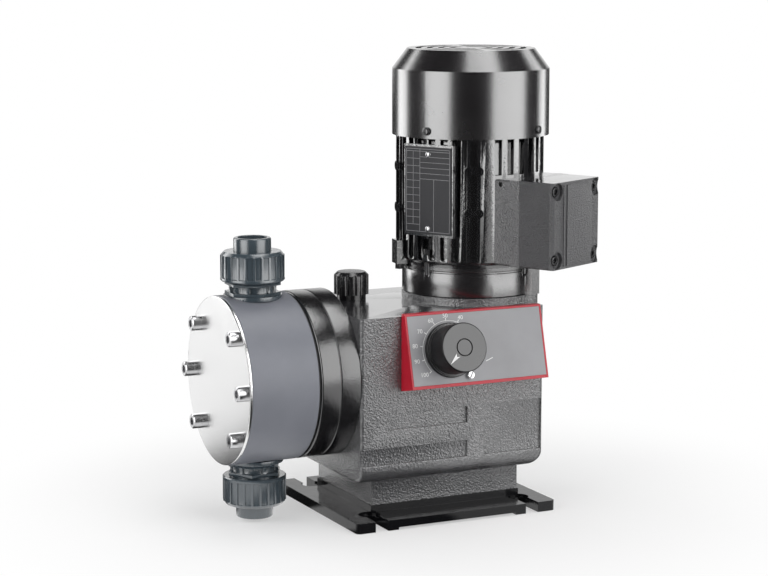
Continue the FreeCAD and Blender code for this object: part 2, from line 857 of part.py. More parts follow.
def make_shaft_bearings():
    along_y = turn_about((1, 0, 0), -90)
    group("shaft_bearings", bearing_ring(),
          [place_at(gear_x, near_bearing_start, d.axis_height, along_y),
           place_at(gear_x, far_bearing_start, d.axis_height, along_y)])


def make_rod_guides():
    bush = new_body("rod_bush", (0, 0, d.axis_height))
    end = guide_end - 2
    start = end - d.bush_length
    bore = d.rod_radius + d.running_gap
    spin(bush, "X", [(start, bore), (end, bore), (end, d.bush_radius), (start, d.bush_radius)])
    seal = new_body("rod_seal", (0, 0, d.axis_height))
    seal_start = -d.housing_front - d.seal_width
    lip = d.rod_radius + d.running_gap
    spin(seal, "X", [(seal_start, lip), (-d.housing_front, lip), (-d.housing_front, lip + 1.5),
                     (seal_start + 2, lip + 1.5), (seal_start + 2, d.seal_radius - 1.5),
                     (-d.housing_front, d.seal_radius - 1.5), (-d.housing_front, d.seal_radius),
                     (seal_start, d.seal_radius)])


# Intermediate ring: turned and painted black, closed at its rear by the seal wall

def make_intermediate_ring():
    body = new_body("intermediate_ring", (0, 0, d.axis_height))
    rear = -d.housing_front
    wall = rear - d.ring_wall
    middle_x = (ring_front + rear) / 2
    half_groove = d.ring_groove_width / 2
    spin(body, "X", [
        (ring_front, d.ring_bore_radius), (wall, d.ring_bore_radius),
        (wall, d.rod_radius + d.passing_gap), (rear - d.seal_width, d.rod_radius + d.passing_gap),
        (rear - d.seal_width, d.seal_radius + d.seat_gap), (rear, d.seal_radius + d.seat_gap),
        (rear, d.ring_radius), (middle_x + half_groove, d.ring_radius),
        (middle_x, d.ring_radius - d.ring_groove_depth), (middle_x - half_groove, d.ring_radius),
        (ring_front + 1, d.ring_radius), (ring_front, d.ring_radius - 1)])
    cut(body, "YZ", [ring_of(y, z, d.head_screw_radius + d.seat_gap)
                     for y, z in head_screw_places()], ring_front, rear)


# Pump head: machined from grey PVC, with the dosing chamber at its rear and a
# spotface and pocket for a valve above and below.

def make_pump_head():
    body = new_body("pump_head", (0, 0, d.axis_height))
    bevel = 0.8
    spin(body, "X", [
        (head_front, Size(0)), (head_rear - d.chamber_depth, Size(0)),
        (head_rear - d.chamber_depth, d.chamber_radius - d.chamber_depth),
        (head_rear, d.chamber_radius), (head_rear, d.head_radius - bevel),
        (head_rear - bevel, d.head_radius), (head_front + bevel, d.head_radius),
        (head_front, d.head_radius - bevel)])
    cut(body, "YZ", [ring_of(y, z, d.head_screw_radius + d.seat_gap)
                     for y, z in head_screw_places()], head_front, head_rear)
    pocket = d.valve_seat_height - d.valve_spigot_length
    spotface = cut(body, "XY", [ring_of(valve_x, Size(0), d.valve_collar_radius + d.seat_gap)],
                   d.valve_seat_height, d.head_radius + 1)
    bore = cut(body, "XY", [ring_of(valve_x, Size(0), d.valve_spigot_radius + d.seat_gap)],
               pocket, d.valve_seat_height)
    passage = cut(body, "XY", [ring_of(valve_x, Size(0), d.valve_bore_radius)], Size(0), pocket)
    mirrored(body, [spotface, bore, passage], "XY")
    cut(body, "YZ", [ring_of(Size(0), Size(0), d.valve_bore_radius)], valve_x, head_rear)


def make_cover_plate():
    body = new_body("cover_plate", (0, 0, d.axis_height))
    edge = 0.5
    spin(body, "X", [
        (cover_front, Size(0)), (head_front, Size(0)), (head_front, d.cover_plate_radius),
        (cover_front + edge, d.cover_plate_radius), (cover_front, d.cover_plate_radius - edge)])
    cut(body, "YZ", [ring_of(y, z, d.head_screw_radius + d.seat_gap)
                     for y, z in head_screw_places()], cover_front, head_front)


def make_head_screws():
    length = d.head_screw_grip - d.housing_front - cover_front
    screw = socket_screw(d.head_screw_radius, length,
                         d.head_screw_head_radius, d.head_screw_head_height)
    forwards = turn_about((0, 1, 0), -90)
    group("head_screws", screw, [place_at(cover_front, y, d.axis_height + z, forwards)
                                 for y, z in head_screw_places()])


# Diaphragm: fabric-backed rubber disc clamped at its rim, with one soft wave

def make_diaphragm():
    body = new_body("diaphragm", (0, 0, d.axis_height))
    wave_radius = (d.diaphragm_hub_radius + d.chamber_radius) / 2
    rear = ring_front
    hub_front = head_rear - d.diaphragm_hub_front
    spin(body, "X", [
        (hub_front, Size(0)), (disc_front, Size(0)), (disc_front, d.diaphragm_hub_radius - 2),
        (rear, d.diaphragm_hub_radius), (rear + d.diaphragm_wave, wave_radius),
        (rear, d.chamber_radius), (rear, d.diaphragm_radius),
        (head_rear, d.diaphragm_radius), (head_rear, d.chamber_radius - 1),
        (head_rear + d.diaphragm_wave, wave_radius), (head_rear, d.diaphragm_hub_radius),
        (hub_front, d.diaphragm_hub_radius - 2)])
    cut(body, "YZ", [ring_of(y, z, d.head_screw_radius + d.seat_gap)
                     for y, z in head_screw_places()], head_rear, rear)


# Push rod, crosshead and support disc move together along the pump axis

def make_push_rod():
    body = new_body("push_rod", (0, 0, d.axis_height))
    spin(body, "X", [
        (disc_front, Size(0)), (crosshead_rear, Size(0)), (crosshead_rear, d.rod_stud_radius),
        (crosshead_front, d.rod_stud_radius), (crosshead_front, d.rod_radius),
        (disc_rear, d.rod_radius), (disc_rear, d.rod_stud_radius), (disc_front, d.rod_stud_radius)])


def make_diaphragm_disc():
    body = new_body("diaphragm_disc", (0, 0, d.axis_height))
    bore = d.rod_stud_radius + d.seat_gap
    reach = d.diaphragm_hub_radius - 2
    spin(body, "X", [
        (disc_front, bore), (disc_rear, bore), (disc_rear, d.support_disc_radius - 2),
        (disc_rear - 2, d.support_disc_radius), (disc_rear - 3, d.support_disc_radius),
        (disc_front, reach)])


def make_crosshead():
    body = new_body("crosshead", (0, 0, d.axis_height))
    half_height = d.crosshead_height / 2
    outer = d.cam_start + d.cam_width
    add(body, "YZ", [box_of(-outer, -half_height, outer, half_height)],
        crosshead_front, crosshead_rear)
    half_arm = d.arm_height / 2
    arm = add(body, "XY", [box_of(crosshead_rear, d.cam_start, arm_end, outer)],
              -half_arm, half_arm)
    mirrored(body, [arm], "XZ")
    add(body, "YZ", [box_of(-stop_outer, ear_low, -outer + 1, ear_high)],
        crosshead_front, crosshead_rear)
    add(body, "YZ", [box_of(-stop_outer, ear_low, -stop_inner, ear_high)],
        crosshead_rear, stop_face)
    cut(body, "YZ", [ring_of(Size(0), Size(0), d.rod_stud_radius + d.seat_gap)],
        crosshead_front, crosshead_rear)


def make_return_spring():
    """Round wire spring between the guide boss and the crosshead."""
    wire = float(d.spring_wire_radius)
    start = float(guide_end) + wire + 0.1
    length = float(crosshead_front) - wire - 0.1 - start
    helix = Part.makeHelix(length / float(d.spring_turns), length, float(d.spring_radius))
    section = Part.Wire(Part.makeCircle(
        wire, FreeCAD.Vector(float(d.spring_radius), 0, 0), FreeCAD.Vector(0, 1, 0)))
    coil = Part.Wire(helix).makePipeShell([section], True, True)
    group("return_spring", coil, [place_at(start, 0, d.axis_height, turn_about((0, 1, 0), 90))])


# Worm gear: the worm on the motor shaft drives the wheel between the two cams

flank = math.tan(math.radians(20))
half_tooth_tip = d.tooth_thickness / 2 - d.addendum * flank
half_tooth_root = d.tooth_thickness / 2 + d.dedendum * flank


def make_worm():
    """The thread passes the wheel side half a lead above its start."""
    half_turns = int(d.worm_turns) + 0.5
    height = worm_lead * d.worm_turns
    root = worm_pitch_radius - d.dedendum
    tip = worm_pitch_radius + d.addendum
    body = new_body("worm", (d.motor_x, 0, d.axis_height - worm_lead * (half_turns / 2 - 0.25)))
    low = (height - d.worm_length) / 2
    spin(body, "Z", [(d.worm_bore_radius + d.seat_gap, low), (root, low), (root, low + d.worm_length),
                     (d.worm_bore_radius + d.seat_gap, low + d.worm_length)])
    thread = draw(body, "XZ", [[
        (root - 0.2, -half_tooth_root), (tip, -half_tooth_tip),
        (tip, half_tooth_tip), (root - 0.2, half_tooth_root)]])
    helix = body.newObject("PartDesign::AdditiveHelix", "worm_thread")
    helix.Profile = thread
    helix.ReferenceAxis = (thread, ["V_Axis"])
    helix.Mode = "pitch-height-angle"
    helix.Pitch = float(worm_lead)
    helix.Height = float(height)
    bind(helix, "Pitch", worm_lead)
    bind(helix, "Height", height)


def make_worm_wheel():
    body = new_body("worm_wheel", (gear_x, 0, d.axis_height))
    half = d.wheel_width / 2
    bore = d.eccentric_shaft_radius + d.seat_gap
    add(body, "XZ", [ring_of(Size(0), Size(0), wheel_root_radius), ring_of(Size(0), Size(0), bore)],
        -half, half)
    step = math.radians(180 / int(d.wheel_teeth))
    tooth = [(wheel_root_radius - 1, -half_tooth_root), (wheel_tip_radius, -half_tooth_tip),
             (wheel_tip_radius, half_tooth_tip), (wheel_root_radius - 1, half_tooth_root)]
    turned_tooth = [(x * math.cos(step) - z * math.sin(step), x * math.sin(step) + z * math.cos(step))
                    for x, z in tooth]
    first = add(body, "XZ", [turned_tooth], -half, half)
    around(body, [first], d.wheel_teeth, axis="Y")


def make_eccentric_shaft():
    body = new_body("eccentric_shaft", (gear_x, 0, d.axis_height))
    near = near_bearing_start + 0.5
    far = far_bearing_start + d.bearing_width - 0.5
    journal = d.bearing_bore_radius - d.running_gap
    shoulder = d.eccentric_shaft_shoulder
    spin(body, "Y", [
        (Size(0), near), (journal, near), (journal, -shoulder), (d.eccentric_shaft_radius, -shoulder),
        (d.eccentric_shaft_radius, shoulder), (journal, shoulder), (journal, far), (Size(0), far)])


def make_eccentric_cams():
    """Two round cams, off centre towards the rear at rest."""
    disc = Part.makeCylinder(float(d.cam_radius), float(d.cam_width),
                             FreeCAD.Vector(float(d.cam_offset), 0, 0))
    bore = Part.makeCylinder(float(d.eccentric_shaft_radius + d.seat_gap), float(d.cam_width))
    along_y = turn_about((1, 0, 0), -90)
    group("eccentric_cams", disc.cut(bore),
          [place_at(gear_x, d.cam_start, d.axis_height, along_y),
           place_at(gear_x, -d.cam_start - d.cam_width, d.axis_height, along_y)])


# Adjuster: knob, spindle with an eccentric stop, bush and lock screw

tilt_sine = math.sin(math.radians(panel_tilt))
tilt_cosine = math.cos(math.radians(panel_tilt))
stop_middle = d.spindle_length - d.stop_length / 2
stop_y = knob_y + stop_middle * tilt_cosine
stop_z = knob_height - stop_middle * tilt_sine - d.axis_height
stop_face = -d.knob_x - d.stop_radius - d.stop_offset - d.passing_gap
stop_outer = -stop_y + d.stop_length / 2
stop_inner = -stop_y - d.stop_length / 2
ear_low = stop_z - d.stop_radius
ear_high = stop_z + d.stop_radius


def panel_body(label):
    return new_body(label, knob_base, panel_turn)


def make_panel_bezel():
    """Wedge-shaped moulding, hollow behind, with a rebate for the dial plate."""
    body = new_body("panel_bezel")
    top_y = -half_width - d.panel_top_depth
    bottom_y = -half_width - d.panel_bottom_depth
    profile = [(-half_width, panel_bottom - d.panel_rear_drop), (bottom_y, panel_bottom),
               (top_y, panel_top), (-half_width, panel_top)]
    add(body, "YZ", [profile], -d.panel_left, d.panel_right)
    wall = d.panel_wall
    back = [(-half_width, panel_bottom - d.panel_rear_drop + wall + 2),
            (bottom_y + wall + 1, panel_bottom + wall),
            (top_y + wall, panel_top - wall), (-half_width, panel_top - wall)]
    cut(body, "YZ", [back], wall - d.panel_left, d.panel_right - wall)
    cut_on_panel(body, [box_of(dial_left, dial_low, dial_right, dial_high)], d.dial_thickness)
    cut_on_panel(body, [ring_of(Size(0), Size(0), d.spindle_radius + d.passing_gap),
                        ring_of(d.lock_screw_x, -d.lock_screw_y, 0.6 * d.lock_screw_radius)],
                 4 * wall)


stretch = panel_length / float(panel_rise)
dial_left = d.knob_x - d.panel_left + d.panel_rim
dial_right = d.panel_right + d.knob_x - d.panel_rim
dial_low = (panel_bottom - knob_height) * stretch + 1.5 * d.panel_rim
dial_high = (panel_top - knob_height) * stretch - d.panel_rim


def make_dial_plate():
    body = panel_body("dial_plate")
    gap = d.seat_gap
    add(body, "XY", [box_of(dial_left + gap, dial_low + gap, dial_right - gap, dial_high - gap),
                     ring_of(Size(0), Size(0), d.spindle_radius + d.passing_gap),
                     ring_of(d.lock_screw_x, -d.lock_screw_y, 0.6 * d.lock_screw_radius)],
        -d.dial_thickness, Size(0))


def make_adjuster_knob():
    body = panel_body("adjuster_knob")
    bore = d.spindle_radius + d.seat_gap
    front = d.knob_front
    skirt = d.knob_gap + d.knob_skirt_height
    step = skirt + d.knob_step_height
    recess = front - d.knob_cap_thickness
    spin(body, "Z", [
        (bore, d.knob_gap), (d.knob_skirt_radius, d.knob_gap), (d.knob_skirt_radius, skirt - 0.6),
        (d.knob_skirt_radius - 0.6, skirt), (d.knob_step_radius, skirt), (d.knob_step_radius, step),
        (d.knob_radius, step), (d.knob_radius, front - d.knob_chamfer),
        (d.knob_radius - d.knob_chamfer, front), (d.knob_cap_radius + 0.5, front),
        (d.knob_cap_radius + 0.5, recess), (bore, recess)])
    cap = panel_body("knob_cap")
    spin(cap, "Z", [
        (Size(0), recess), (d.knob_cap_radius, recess), (d.knob_cap_radius, front - 0.3),
        (d.knob_cap_radius - 0.3, front), (Size(0), front)])


def make_adjuster_spindle():
    body = panel_body("adjuster_spindle")
    top = d.knob_front - d.knob_cap_thickness
    stop_top = d.stop_length - d.spindle_length
    add(body, "XY", [ring_of(Size(0), Size(0), d.spindle_radius)], stop_top, top)
    add(body, "XY", [ring_of(-d.stop_offset, Size(0), d.stop_radius)], -d.spindle_length, stop_top)
    bush = panel_body("adjuster_bush")
    outside = -(-knob_y - half_width) / tilt_cosine - 2
    inside = outside - d.housing_wall / tilt_cosine - 2
    spin(bush, "Z", [
        (d.spindle_radius + d.running_gap, inside), (d.adjuster_bush_radius, inside),
        (d.adjuster_bush_radius, outside), (d.spindle_radius + d.running_gap, outside)])


def make_lock_screw():
    """Slotted screw that clamps the knob's setting."""
    radius = float(d.lock_screw_radius)
    head = Part.makeCylinder(radius, 2.4, FreeCAD.Vector(0, 0, 0.3))
    bevel = Part.makeCone(radius, radius - 0.6, 0.6, FreeCAD.Vector(0, 0, 2.7))
    shank = Part.makeCylinder(0.5 * radius, 6.3, FreeCAD.Vector(0, 0, -6))
    slot = Part.makeBox(2.4 * radius, 0.9, 1.5, FreeCAD.Vector(-1.2 * radius, -0.45, 1.9))
    screw = head.fuse([bevel, shank]).cut(slot).removeSplitter()
    seat = panel_turn.multVec(FreeCAD.Vector(float(d.lock_screw_x), -float(d.lock_screw_y), 0))
    corner = FreeCAD.Vector(*[float(value) for value in knob_base]) + seat
    turned_slot = panel_turn * turn_about((0, 0, 1), 60)
    group("lock_screw", screw, [FreeCAD.Placement(corner, turned_slot)])


# Valves: each is drawn outwards from its spotface on the head; the suction valve
# is the same casting turned over, with its seat at the outer end.

UPWARDS = turn_about((0, 0, 1), -4.4)
DOWNWARDS = turn_about((1, 0, 0), 180) * turn_about((0, 0, 1), 26.4)


def valve_places():
    return {
        "discharge": ((valve_x, Size(0), d.axis_height + d.valve_seat_height), UPWARDS),
        "suction": ((valve_x, Size(0), d.axis_height - d.valve_seat_height), DOWNWARDS),
    }


flange_low = d.valve_collar_height
neck_low = flange_low + d.valve_flange_thickness
neck_high = neck_low + d.valve_neck_height
flange_high = neck_high + d.valve_flange_thickness
seat_levels = {"discharge": -d.seat_thickness - 4, "suction": d.suction_seat_level}


def make_valve_body(side):
    place, turn = valve_places()[side]
    body = new_body(f"{side}_valve_body", place, turn)
    bore = d.valve_bore_radius
    thread = d.valve_thread_radius
    spin(body, "Z", [
        (bore, -d.valve_spigot_length), (d.valve_spigot_radius, -d.valve_spigot_length),
        (d.valve_spigot_radius, Size(0)), (d.valve_collar_radius, Size(0)),
        (d.valve_collar_radius, flange_low), (d.valve_neck_radius, flange_low),
        (d.valve_neck_radius, neck_high), (thread, neck_high),
        (thread, d.valve_body_height - 1), (thread - 1, d.valve_body_height),
        (bore, d.valve_body_height)])
    plates = [hexagon(d.valve_flange_radius, 30)]
    add(body, "XY", plates, flange_low, neck_low)
    add(body, "XY", plates, neck_high, flange_high)
    reach = 0.85 * d.valve_flange_radius
    half_web = 1.6
    web = add(body, "XY", [box_of(d.valve_neck_radius - 2, Size(-half_web), reach, Size(half_web))],
              neck_low, neck_high)
    around(body, [web], 6)
    seat = seat_levels[side]
    if side == "discharge":
        cut(body, "XY", [ring_of(Size(0), Size(0), d.seat_radius + d.seat_gap)],
            -d.valve_spigot_length, seat + d.seat_thickness)
        cut(body, "XY", [ring_of(Size(0), Size(0), d.ball_chamber_radius)],
            seat + d.seat_thickness, seat + d.seat_thickness + ball_room)
    else:
        cut(body, "XY", [ring_of(Size(0), Size(0), d.seat_radius + d.seat_gap)],
            seat, d.valve_body_height)
        cut(body, "XY", [ring_of(Size(0), Size(0), d.ball_chamber_radius)],
            seat - ball_room, seat)


ball_sink = math.sqrt(float(d.ball_radius) ** 2 - float(d.valve_bore_radius) ** 2)
ball_height = ball_sink + d.ball_clearance
ball_room = ball_height + d.ball_radius + d.ball_lift + d.ball_clearance


def make_valve_seats():
    """Seat rings, pressed in from the outer end or from the spigot's end."""
    bore, radius = float(d.valve_bore_radius), float(d.seat_radius)
    ring = Part.makeCylinder(radius, float(d.seat_thickness)).cut(
        Part.makeCylinder(bore, float(d.seat_thickness)))
    places = []
    for side, (place, turn) in valve_places().items():
        along = turn.multVec(FreeCAD.Vector(0, 0, float(seat_levels[side])))
        places.append(FreeCAD.Placement(FreeCAD.Vector(*[float(v) for v in place]) + along, turn))
    group("valve_seats", ring, places)


def make_ball(side):
    place, turn = valve_places()[side]
    if side == "discharge":
        level = seat_levels[side] + d.seat_thickness + ball_height
    else:
        level = seat_levels[side] - ball_height
    along = turn.multVec(FreeCAD.Vector(0, 0, float(level)))
    centre = FreeCAD.Vector(*[float(v) for v in place]) + along
    group(f"{side}_ball", Part.makeSphere(float(d.ball_radius)), [FreeCAD.Placement(centre, turn)])


def make_tailpiece(side):
    place, turn = valve_places()[side]
    body = new_body(f"{side}_tailpiece", place, turn)
    low = tail_low
    bevel = 0.8
    spin(body, "Z", [
        (d.pipe_bore_radius, low), (d.tail_collar_radius, low),
        (d.tail_collar_radius, low + d.tail_collar_height), (d.tail_radius, low + d.tail_collar_height),
        (d.tail_radius, d.tail_top - bevel), (d.tail_radius - bevel, d.tail_top),
        (d.socket_radius, d.tail_top), (d.socket_radius, d.tail_top - d.socket_depth),
        (d.pipe_bore_radius, d.tail_top - d.socket_depth)])


tail_low = d.valve_body_height + 2 * d.ring_seal_section


def make_valve_o_rings():
    torus = Part.makeTorus(float(d.ring_seal_radius), float(d.ring_seal_section))
    level = float(d.valve_body_height + d.ring_seal_section)
    places = []
    for place, turn in valve_places().values():
        along = turn.multVec(FreeCAD.Vector(0, 0, level))
        places.append(FreeCAD.Placement(FreeCAD.Vector(*[float(v) for v in place]) + along, turn))
    group("valve_o_rings", torus, places)


def make_union_nut(side):
    """Nut with ribs between two plain bands and a bevelled outer end."""
    place, turn = valve_places()[side]
    body = new_body(f"{side}_union_nut", place, turn)
    low = d.nut_start
    high = low + d.nut_height
    root = d.nut_radius - d.nut_rib_height
    inside = d.valve_thread_radius + d.ball_clearance
    shoulder = high - d.nut_shoulder
    rim = d.tail_radius + d.passing_gap
    spin(body, "Z", [
        (inside, low), (d.nut_radius - 1, low), (d.nut_radius, low + 1),
        (d.nut_radius, low + d.nut_band), (root, low + d.nut_band + 0.5),
        (root, high - d.nut_chamfer - 0.5), (d.nut_radius - 0.6, high - d.nut_chamfer),
        (d.nut_radius - d.nut_chamfer, high), (rim, high), (rim, shoulder), (inside, shoulder)])
    half = d.nut_rib_width / 2
    rib = add(body, "XY", [box_of(root - 1, -half, d.nut_radius - 0.1, half)],
              low + d.nut_band, high - d.nut_chamfer)
    around(body, [rib], d.nut_ribs)


# Motor: flange-mounted with its shaft down, on the rear of the housing. Its pieces
# are drawn about the motor's own axis, at their heights above the base plate.

motor_body_low = motor_foot + d.shield_height
motor_body_high = motor_body_low + d.motor_height
plate_bottom = motor_body_low + d.plate_start
stator_low = motor_body_low + d.stator_start
stator_high = stator_low + d.stator_length
lower_bearing = motor_foot + d.shield_floor
upper_bearing = motor_body_high - d.bearing_width + 2
fan_shield_top = motor_body_high + d.fan_shield_height
cover_low = motor_body_high - d.fan_cover_overlap
cover_top = cover_low + d.fan_cover_height
fan_low = motor_body_high + d.fan_start


def motor_part(label, angle=Size(0)):
    return new_body(label, (d.motor_x, Size(0), Size(0)), turn_about((0, 0, 1), angle))


def facing(body, kind, angle, loops, inner, outer):
    """Pad or pocket between two distances from the body's Z axis, seen from one side."""
    distance = inner if kind == "Pad" else outer
    sketch = body.newObject("Sketcher::SketchObject", f"{body.Name}_side")
    sketch.AttachmentSupport = [(origin_feature(body, "YZ_Plane"), "")]
    sketch.MapMode = "FlatFace"
    turn = math.radians(float(angle))
    sketch.AttachmentOffset = FreeCAD.Placement(
        FreeCAD.Vector(math.sin(turn) * float(distance), 0, math.cos(turn) * float(distance)),
        FreeCAD.Rotation(FreeCAD.Vector(0, 1, 0), float(angle)))
    angle = angle if isinstance(angle, Size) else Size(angle)
    bind(sketch, "AttachmentOffset.Base.x", distance * sine(angle))
    bind(sketch, "AttachmentOffset.Base.z", distance * cosine(angle))
    for loop in loops:
        if loop[0] == "circle":
            draw_circle(sketch, *loop[1:])
        else:
            draw_polygon(sketch, loop)
    feature = body.newObject(f"PartDesign::{kind}", f"{body.Name}_{kind}")
    feature.Profile = sketch
    feature.Length = float(outer - inner)
    bind(feature, "Length", outer - inner)
    return feature


def on_circle(radius, angle):
    return radius * cosine(angle), radius * sine(angle)


def four_from(angle):
    return [angle + 90 * index for index in range(4)]


def shield_screw_holes():
    return [ring_of(*on_circle(d.shield_screw_circle, angle), d.shield_screw_radius + d.seat_gap)
            for angle in four_from(d.shield_screw_angle)]


def make_drive_end_shield():
    body = motor_part("drive_end_shield")
    foot, top = motor_foot, motor_body_low
    seat = d.bearing_radius + d.seat_gap
    locate = d.motor_bore_radius - d.seat_gap
    radius = d.shield_radius
    spin(body, "Z", [
        (d.shaft_hole_radius, foot - d.motor_spigot_length),
        (d.motor_spigot_radius, foot - d.motor_spigot_length), (d.motor_spigot_radius, foot),
        (radius - 1, foot), (radius, foot + 1), (radius, top - 5),
        (radius - 1, top - 4.5), (radius - 1, top - 3), (radius, top - 2.5),
        (radius, top), (locate, top), (locate, top + 3), (locate - 4, top + 3),
        (locate - 4, foot + 12), (seat + 5, foot + 12), (seat + 5, lower_bearing + d.bearing_width),
        (seat, lower_bearing + d.bearing_width), (seat, lower_bearing),
        (d.shaft_hole_radius, lower_bearing)])
    facing(body, "Pad", d.shield_lug_angle, [box_of(Size(-7), foot, Size(7), top - 3)],
           radius - 6, d.shield_lug_reach)
    depth = d.motor_screw_length - d.housing_wall - d.motor_seat_height + 1
    cut(body, "XY", [ring_of(x, y, d.motor_screw_radius + d.seat_gap)
                     for x, y in crossed(d.motor_screw_circle)], foot, foot + depth)
    cut(body, "XY", shield_screw_holes(), top - 9, top)


def make_motor_screws():
    screw = socket_screw(d.motor_screw_radius, d.motor_screw_length,
                         1.65 * d.motor_screw_radius, 2 * d.motor_screw_radius)
    group("motor_screws", screw, [place_at(d.motor_x + x, y, inner_top, turn_about((1, 0, 0), 180))
                                  for x, y in crossed(d.motor_screw_circle)])


def make_motor_housing():
    """Ribbed casting with pads for the terminal box and nameplate and two foot rails."""
    body = motor_part("motor_housing")
    low, high = motor_body_low, motor_body_high
    outer = d.motor_radius
    root = outer - d.groove_depth
    spin(body, "Z", [
        (d.motor_bore_radius, low), (root + 1, low), (root + 1, low + 3),
        (outer, low + 6), (outer, high), (d.motor_bore_radius, high)])
    half = d.groove_width / 2
    start = low + d.groove_start
    slot = facing(body, "Pocket", d.groove_phase, [box_of(-half, start, half, high + 1)],
                  root, outer + 1)
    slot_end = facing(body, "Pocket", d.groove_phase, [ring_of(Size(0), start, half)],
                      root, outer + 1)
    around(body, [slot, slot_end], d.fin_count)
    pad_top = low + d.box_pad_height
    spin(body, "Z", [(root - 1, low + 3), (outer, low + 6), (outer, pad_top), (root - 1, pad_top)],
         angle=2 * float(d.box_pad_spread), turn=d.box_pad_angle - d.box_pad_spread)
    spin(body, "Z", [(root - 1, low + 3), (outer, low + 6), (outer, high), (root - 1, high)],
         angle=float(d.strip_spread), turn=d.strip_start)
    half_plate = d.plate_width / 2 + 1.5
    facing(body, "Pad", d.plate_angle,
           [box_of(-half_plate, plate_bottom - 2, half_plate, plate_bottom + d.plate_height + 2)],
           d.motor_bore_radius + 3, d.plate_distance)
    rails = [d.rail_angle + d.rail_spread, d.rail_angle - d.rail_spread]
    half_rail = d.rail_width / 2
    for angle in rails:
        facing(body, "Pad", angle, [box_of(-half_rail, low + 6, half_rail, high - 2)],
               root - 2, outer + d.rail_height)
        facing(body, "Pocket", angle,
               [box_of(2.5 - half_rail, low + 8, half_rail - 2.5, high - 4)],
               root + 2, outer + d.rail_height)
        bosses = [(side * d.rail_boss_offset, low + level) for level in (49.5, 86)
                  for side in (-1, 1)]
        face = outer + d.rail_height + 0.6
        facing(body, "Pad", angle, [ring_of(x, z, d.rail_boss_radius) for x, z in bosses],
               root, face)
        facing(body, "Pocket", angle, [ring_of(x, z, d.rail_hole_radius) for x, z in bosses],
               face - 2, face)
    pocket = d.shield_screw_radius * 2.2
    for angle in four_from(d.shield_screw_angle):
        facing(body, "Pocket", angle, [box_of(-pocket, low + 11, pocket, low + 26)],
               d.shield_screw_circle - pocket, outer + 5)
    cut(body, "XY", shield_screw_holes(), low, low + 11)
    facing(body, "Pad", d.earth_angle, [box_of(Size(-7), low, Size(7), low + 21)],
           d.motor_bore_radius + 4, outer + 6)
    earth = on_circle(d.earth_circle, d.earth_angle)
    cut(body, "XY", [ring_of(*earth, d.shield_screw_radius + d.seat_gap)], low, low + 14)


def make_shield_screws():
    screw = hex_screw(d.shield_screw_radius, 18, 1.8 * d.shield_screw_radius,
                      2 * d.shield_screw_radius)
    places = []
    for angle in four_from(d.shield_screw_angle):
        x, y = on_circle(d.shield_screw_circle, angle)
        places.append(place_at(d.motor_x + x, y, motor_body_low + 11, turn_about((0, 0, 1), angle)))
    group("shield_screws", screw, places)
    x, y = on_circle(d.earth_circle, d.earth_angle)
    earth = hex_screw(d.shield_screw_radius, 12, 1.8 * d.shield_screw_radius, 5)
    group("earth_screw", earth, [place_at(d.motor_x + x, y, motor_body_low,
                                          turn_about((1, 0, 0), 180))])


def make_nameplate():
    """Bare plate on its pad, held by two rivets."""
    body = motor_part("nameplate")
    half = d.plate_width / 2
    top = plate_bottom + d.plate_height
    rivets = [plate_bottom + 4.5, top - 6.5]
    facing(body, "Pad", d.plate_angle, [box_of(-half, plate_bottom, half, top)],
           d.plate_distance, d.plate_distance + d.plate_thickness)
    facing(body, "Pocket", d.plate_angle,
           [ring_of(Size(0), level, 0.5 * d.rivet_radius + d.seat_gap) for level in rivets],
           d.plate_distance, d.plate_distance + d.plate_thickness)
    radius, thickness = float(d.rivet_radius), float(d.plate_thickness)
    head = Part.makeCylinder(radius, 0.5, FreeCAD.Vector(0, 0, thickness))
    crown = Part.makeCone(radius, 0.6 * radius, 0.7, FreeCAD.Vector(0, 0, thickness + 0.5))
    rivet = head.fuse([crown, Part.makeCylinder(0.5 * radius, thickness)]).removeSplitter()
    x, y = on_circle(d.plate_distance, d.plate_angle)
    outwards = turn_about((0, 0, 1), d.plate_angle) * turn_about((0, 1, 0), 90)
    group("nameplate_rivets", rivet, [place_at(d.motor_x + x, y, level, outwards)
                                      for level in rivets])


def make_stator():
    core = motor_part("stator_core")
    outer = d.motor_bore_radius - d.seat_gap
    spin(core, "Z", [(d.stator_inner_radius, stator_low), (outer, stator_low),
                     (outer, stator_high), (d.stator_inner_radius, stator_high)])
    windings = []
    inner = d.stator_inner_radius + 3
    for low, high in ((stator_low - d.winding_length, stator_low),
                      (stator_high, stator_high + d.winding_length)):
        ring = Part.makeCylinder(float(d.winding_radius), float(high - low)).cut(
            Part.makeCylinder(float(inner), float(high - low)))
        ring.translate(FreeCAD.Vector(float(d.motor_x), 0, float(low)))
        windings.append(ring)
    feature = doc.addObject("Part::Feature", "stator_windings")
    feature.Label = "stator_windings"
    feature.Shape = Part.makeCompound(windings)
    pieces.append(feature)


def make_rotor():
    """Shaft from the worm at its foot to the fan at its head."""
    shaft = motor_part("rotor_shaft")
    journal = d.bearing_bore_radius - d.running_gap
    worm_low = d.axis_height - d.worm_length / 2 - 3
    worm_high = d.axis_height + d.worm_length / 2
    spin(shaft, "Z", [
        (Size(0), worm_low), (d.worm_bore_radius, worm_low), (d.worm_bore_radius, worm_high),
        (journal, worm_high), (journal, stator_low - 8), (d.rotor_shaft_radius, stator_low - 8),
        (d.rotor_shaft_radius, stator_high + 8), (journal, stator_high + 8),
        (journal, upper_bearing + d.bearing_width), (journal - 1, upper_bearing + d.bearing_width),
        (journal - 1, motor_body_high + d.shaft_top), (Size(0), motor_body_high + d.shaft_top)])
    core = motor_part("rotor_core")
    bore = d.rotor_shaft_radius + d.seat_gap
    spin(core, "Z", [(bore, stator_low), (d.rotor_radius, stator_low),
                     (d.rotor_radius, stator_high), (bore, stator_high)])


def make_motor_bearings():
    group("motor_bearings", bearing_ring(), [place_at(d.motor_x, 0, level)
                                             for level in (lower_bearing, upper_bearing)])


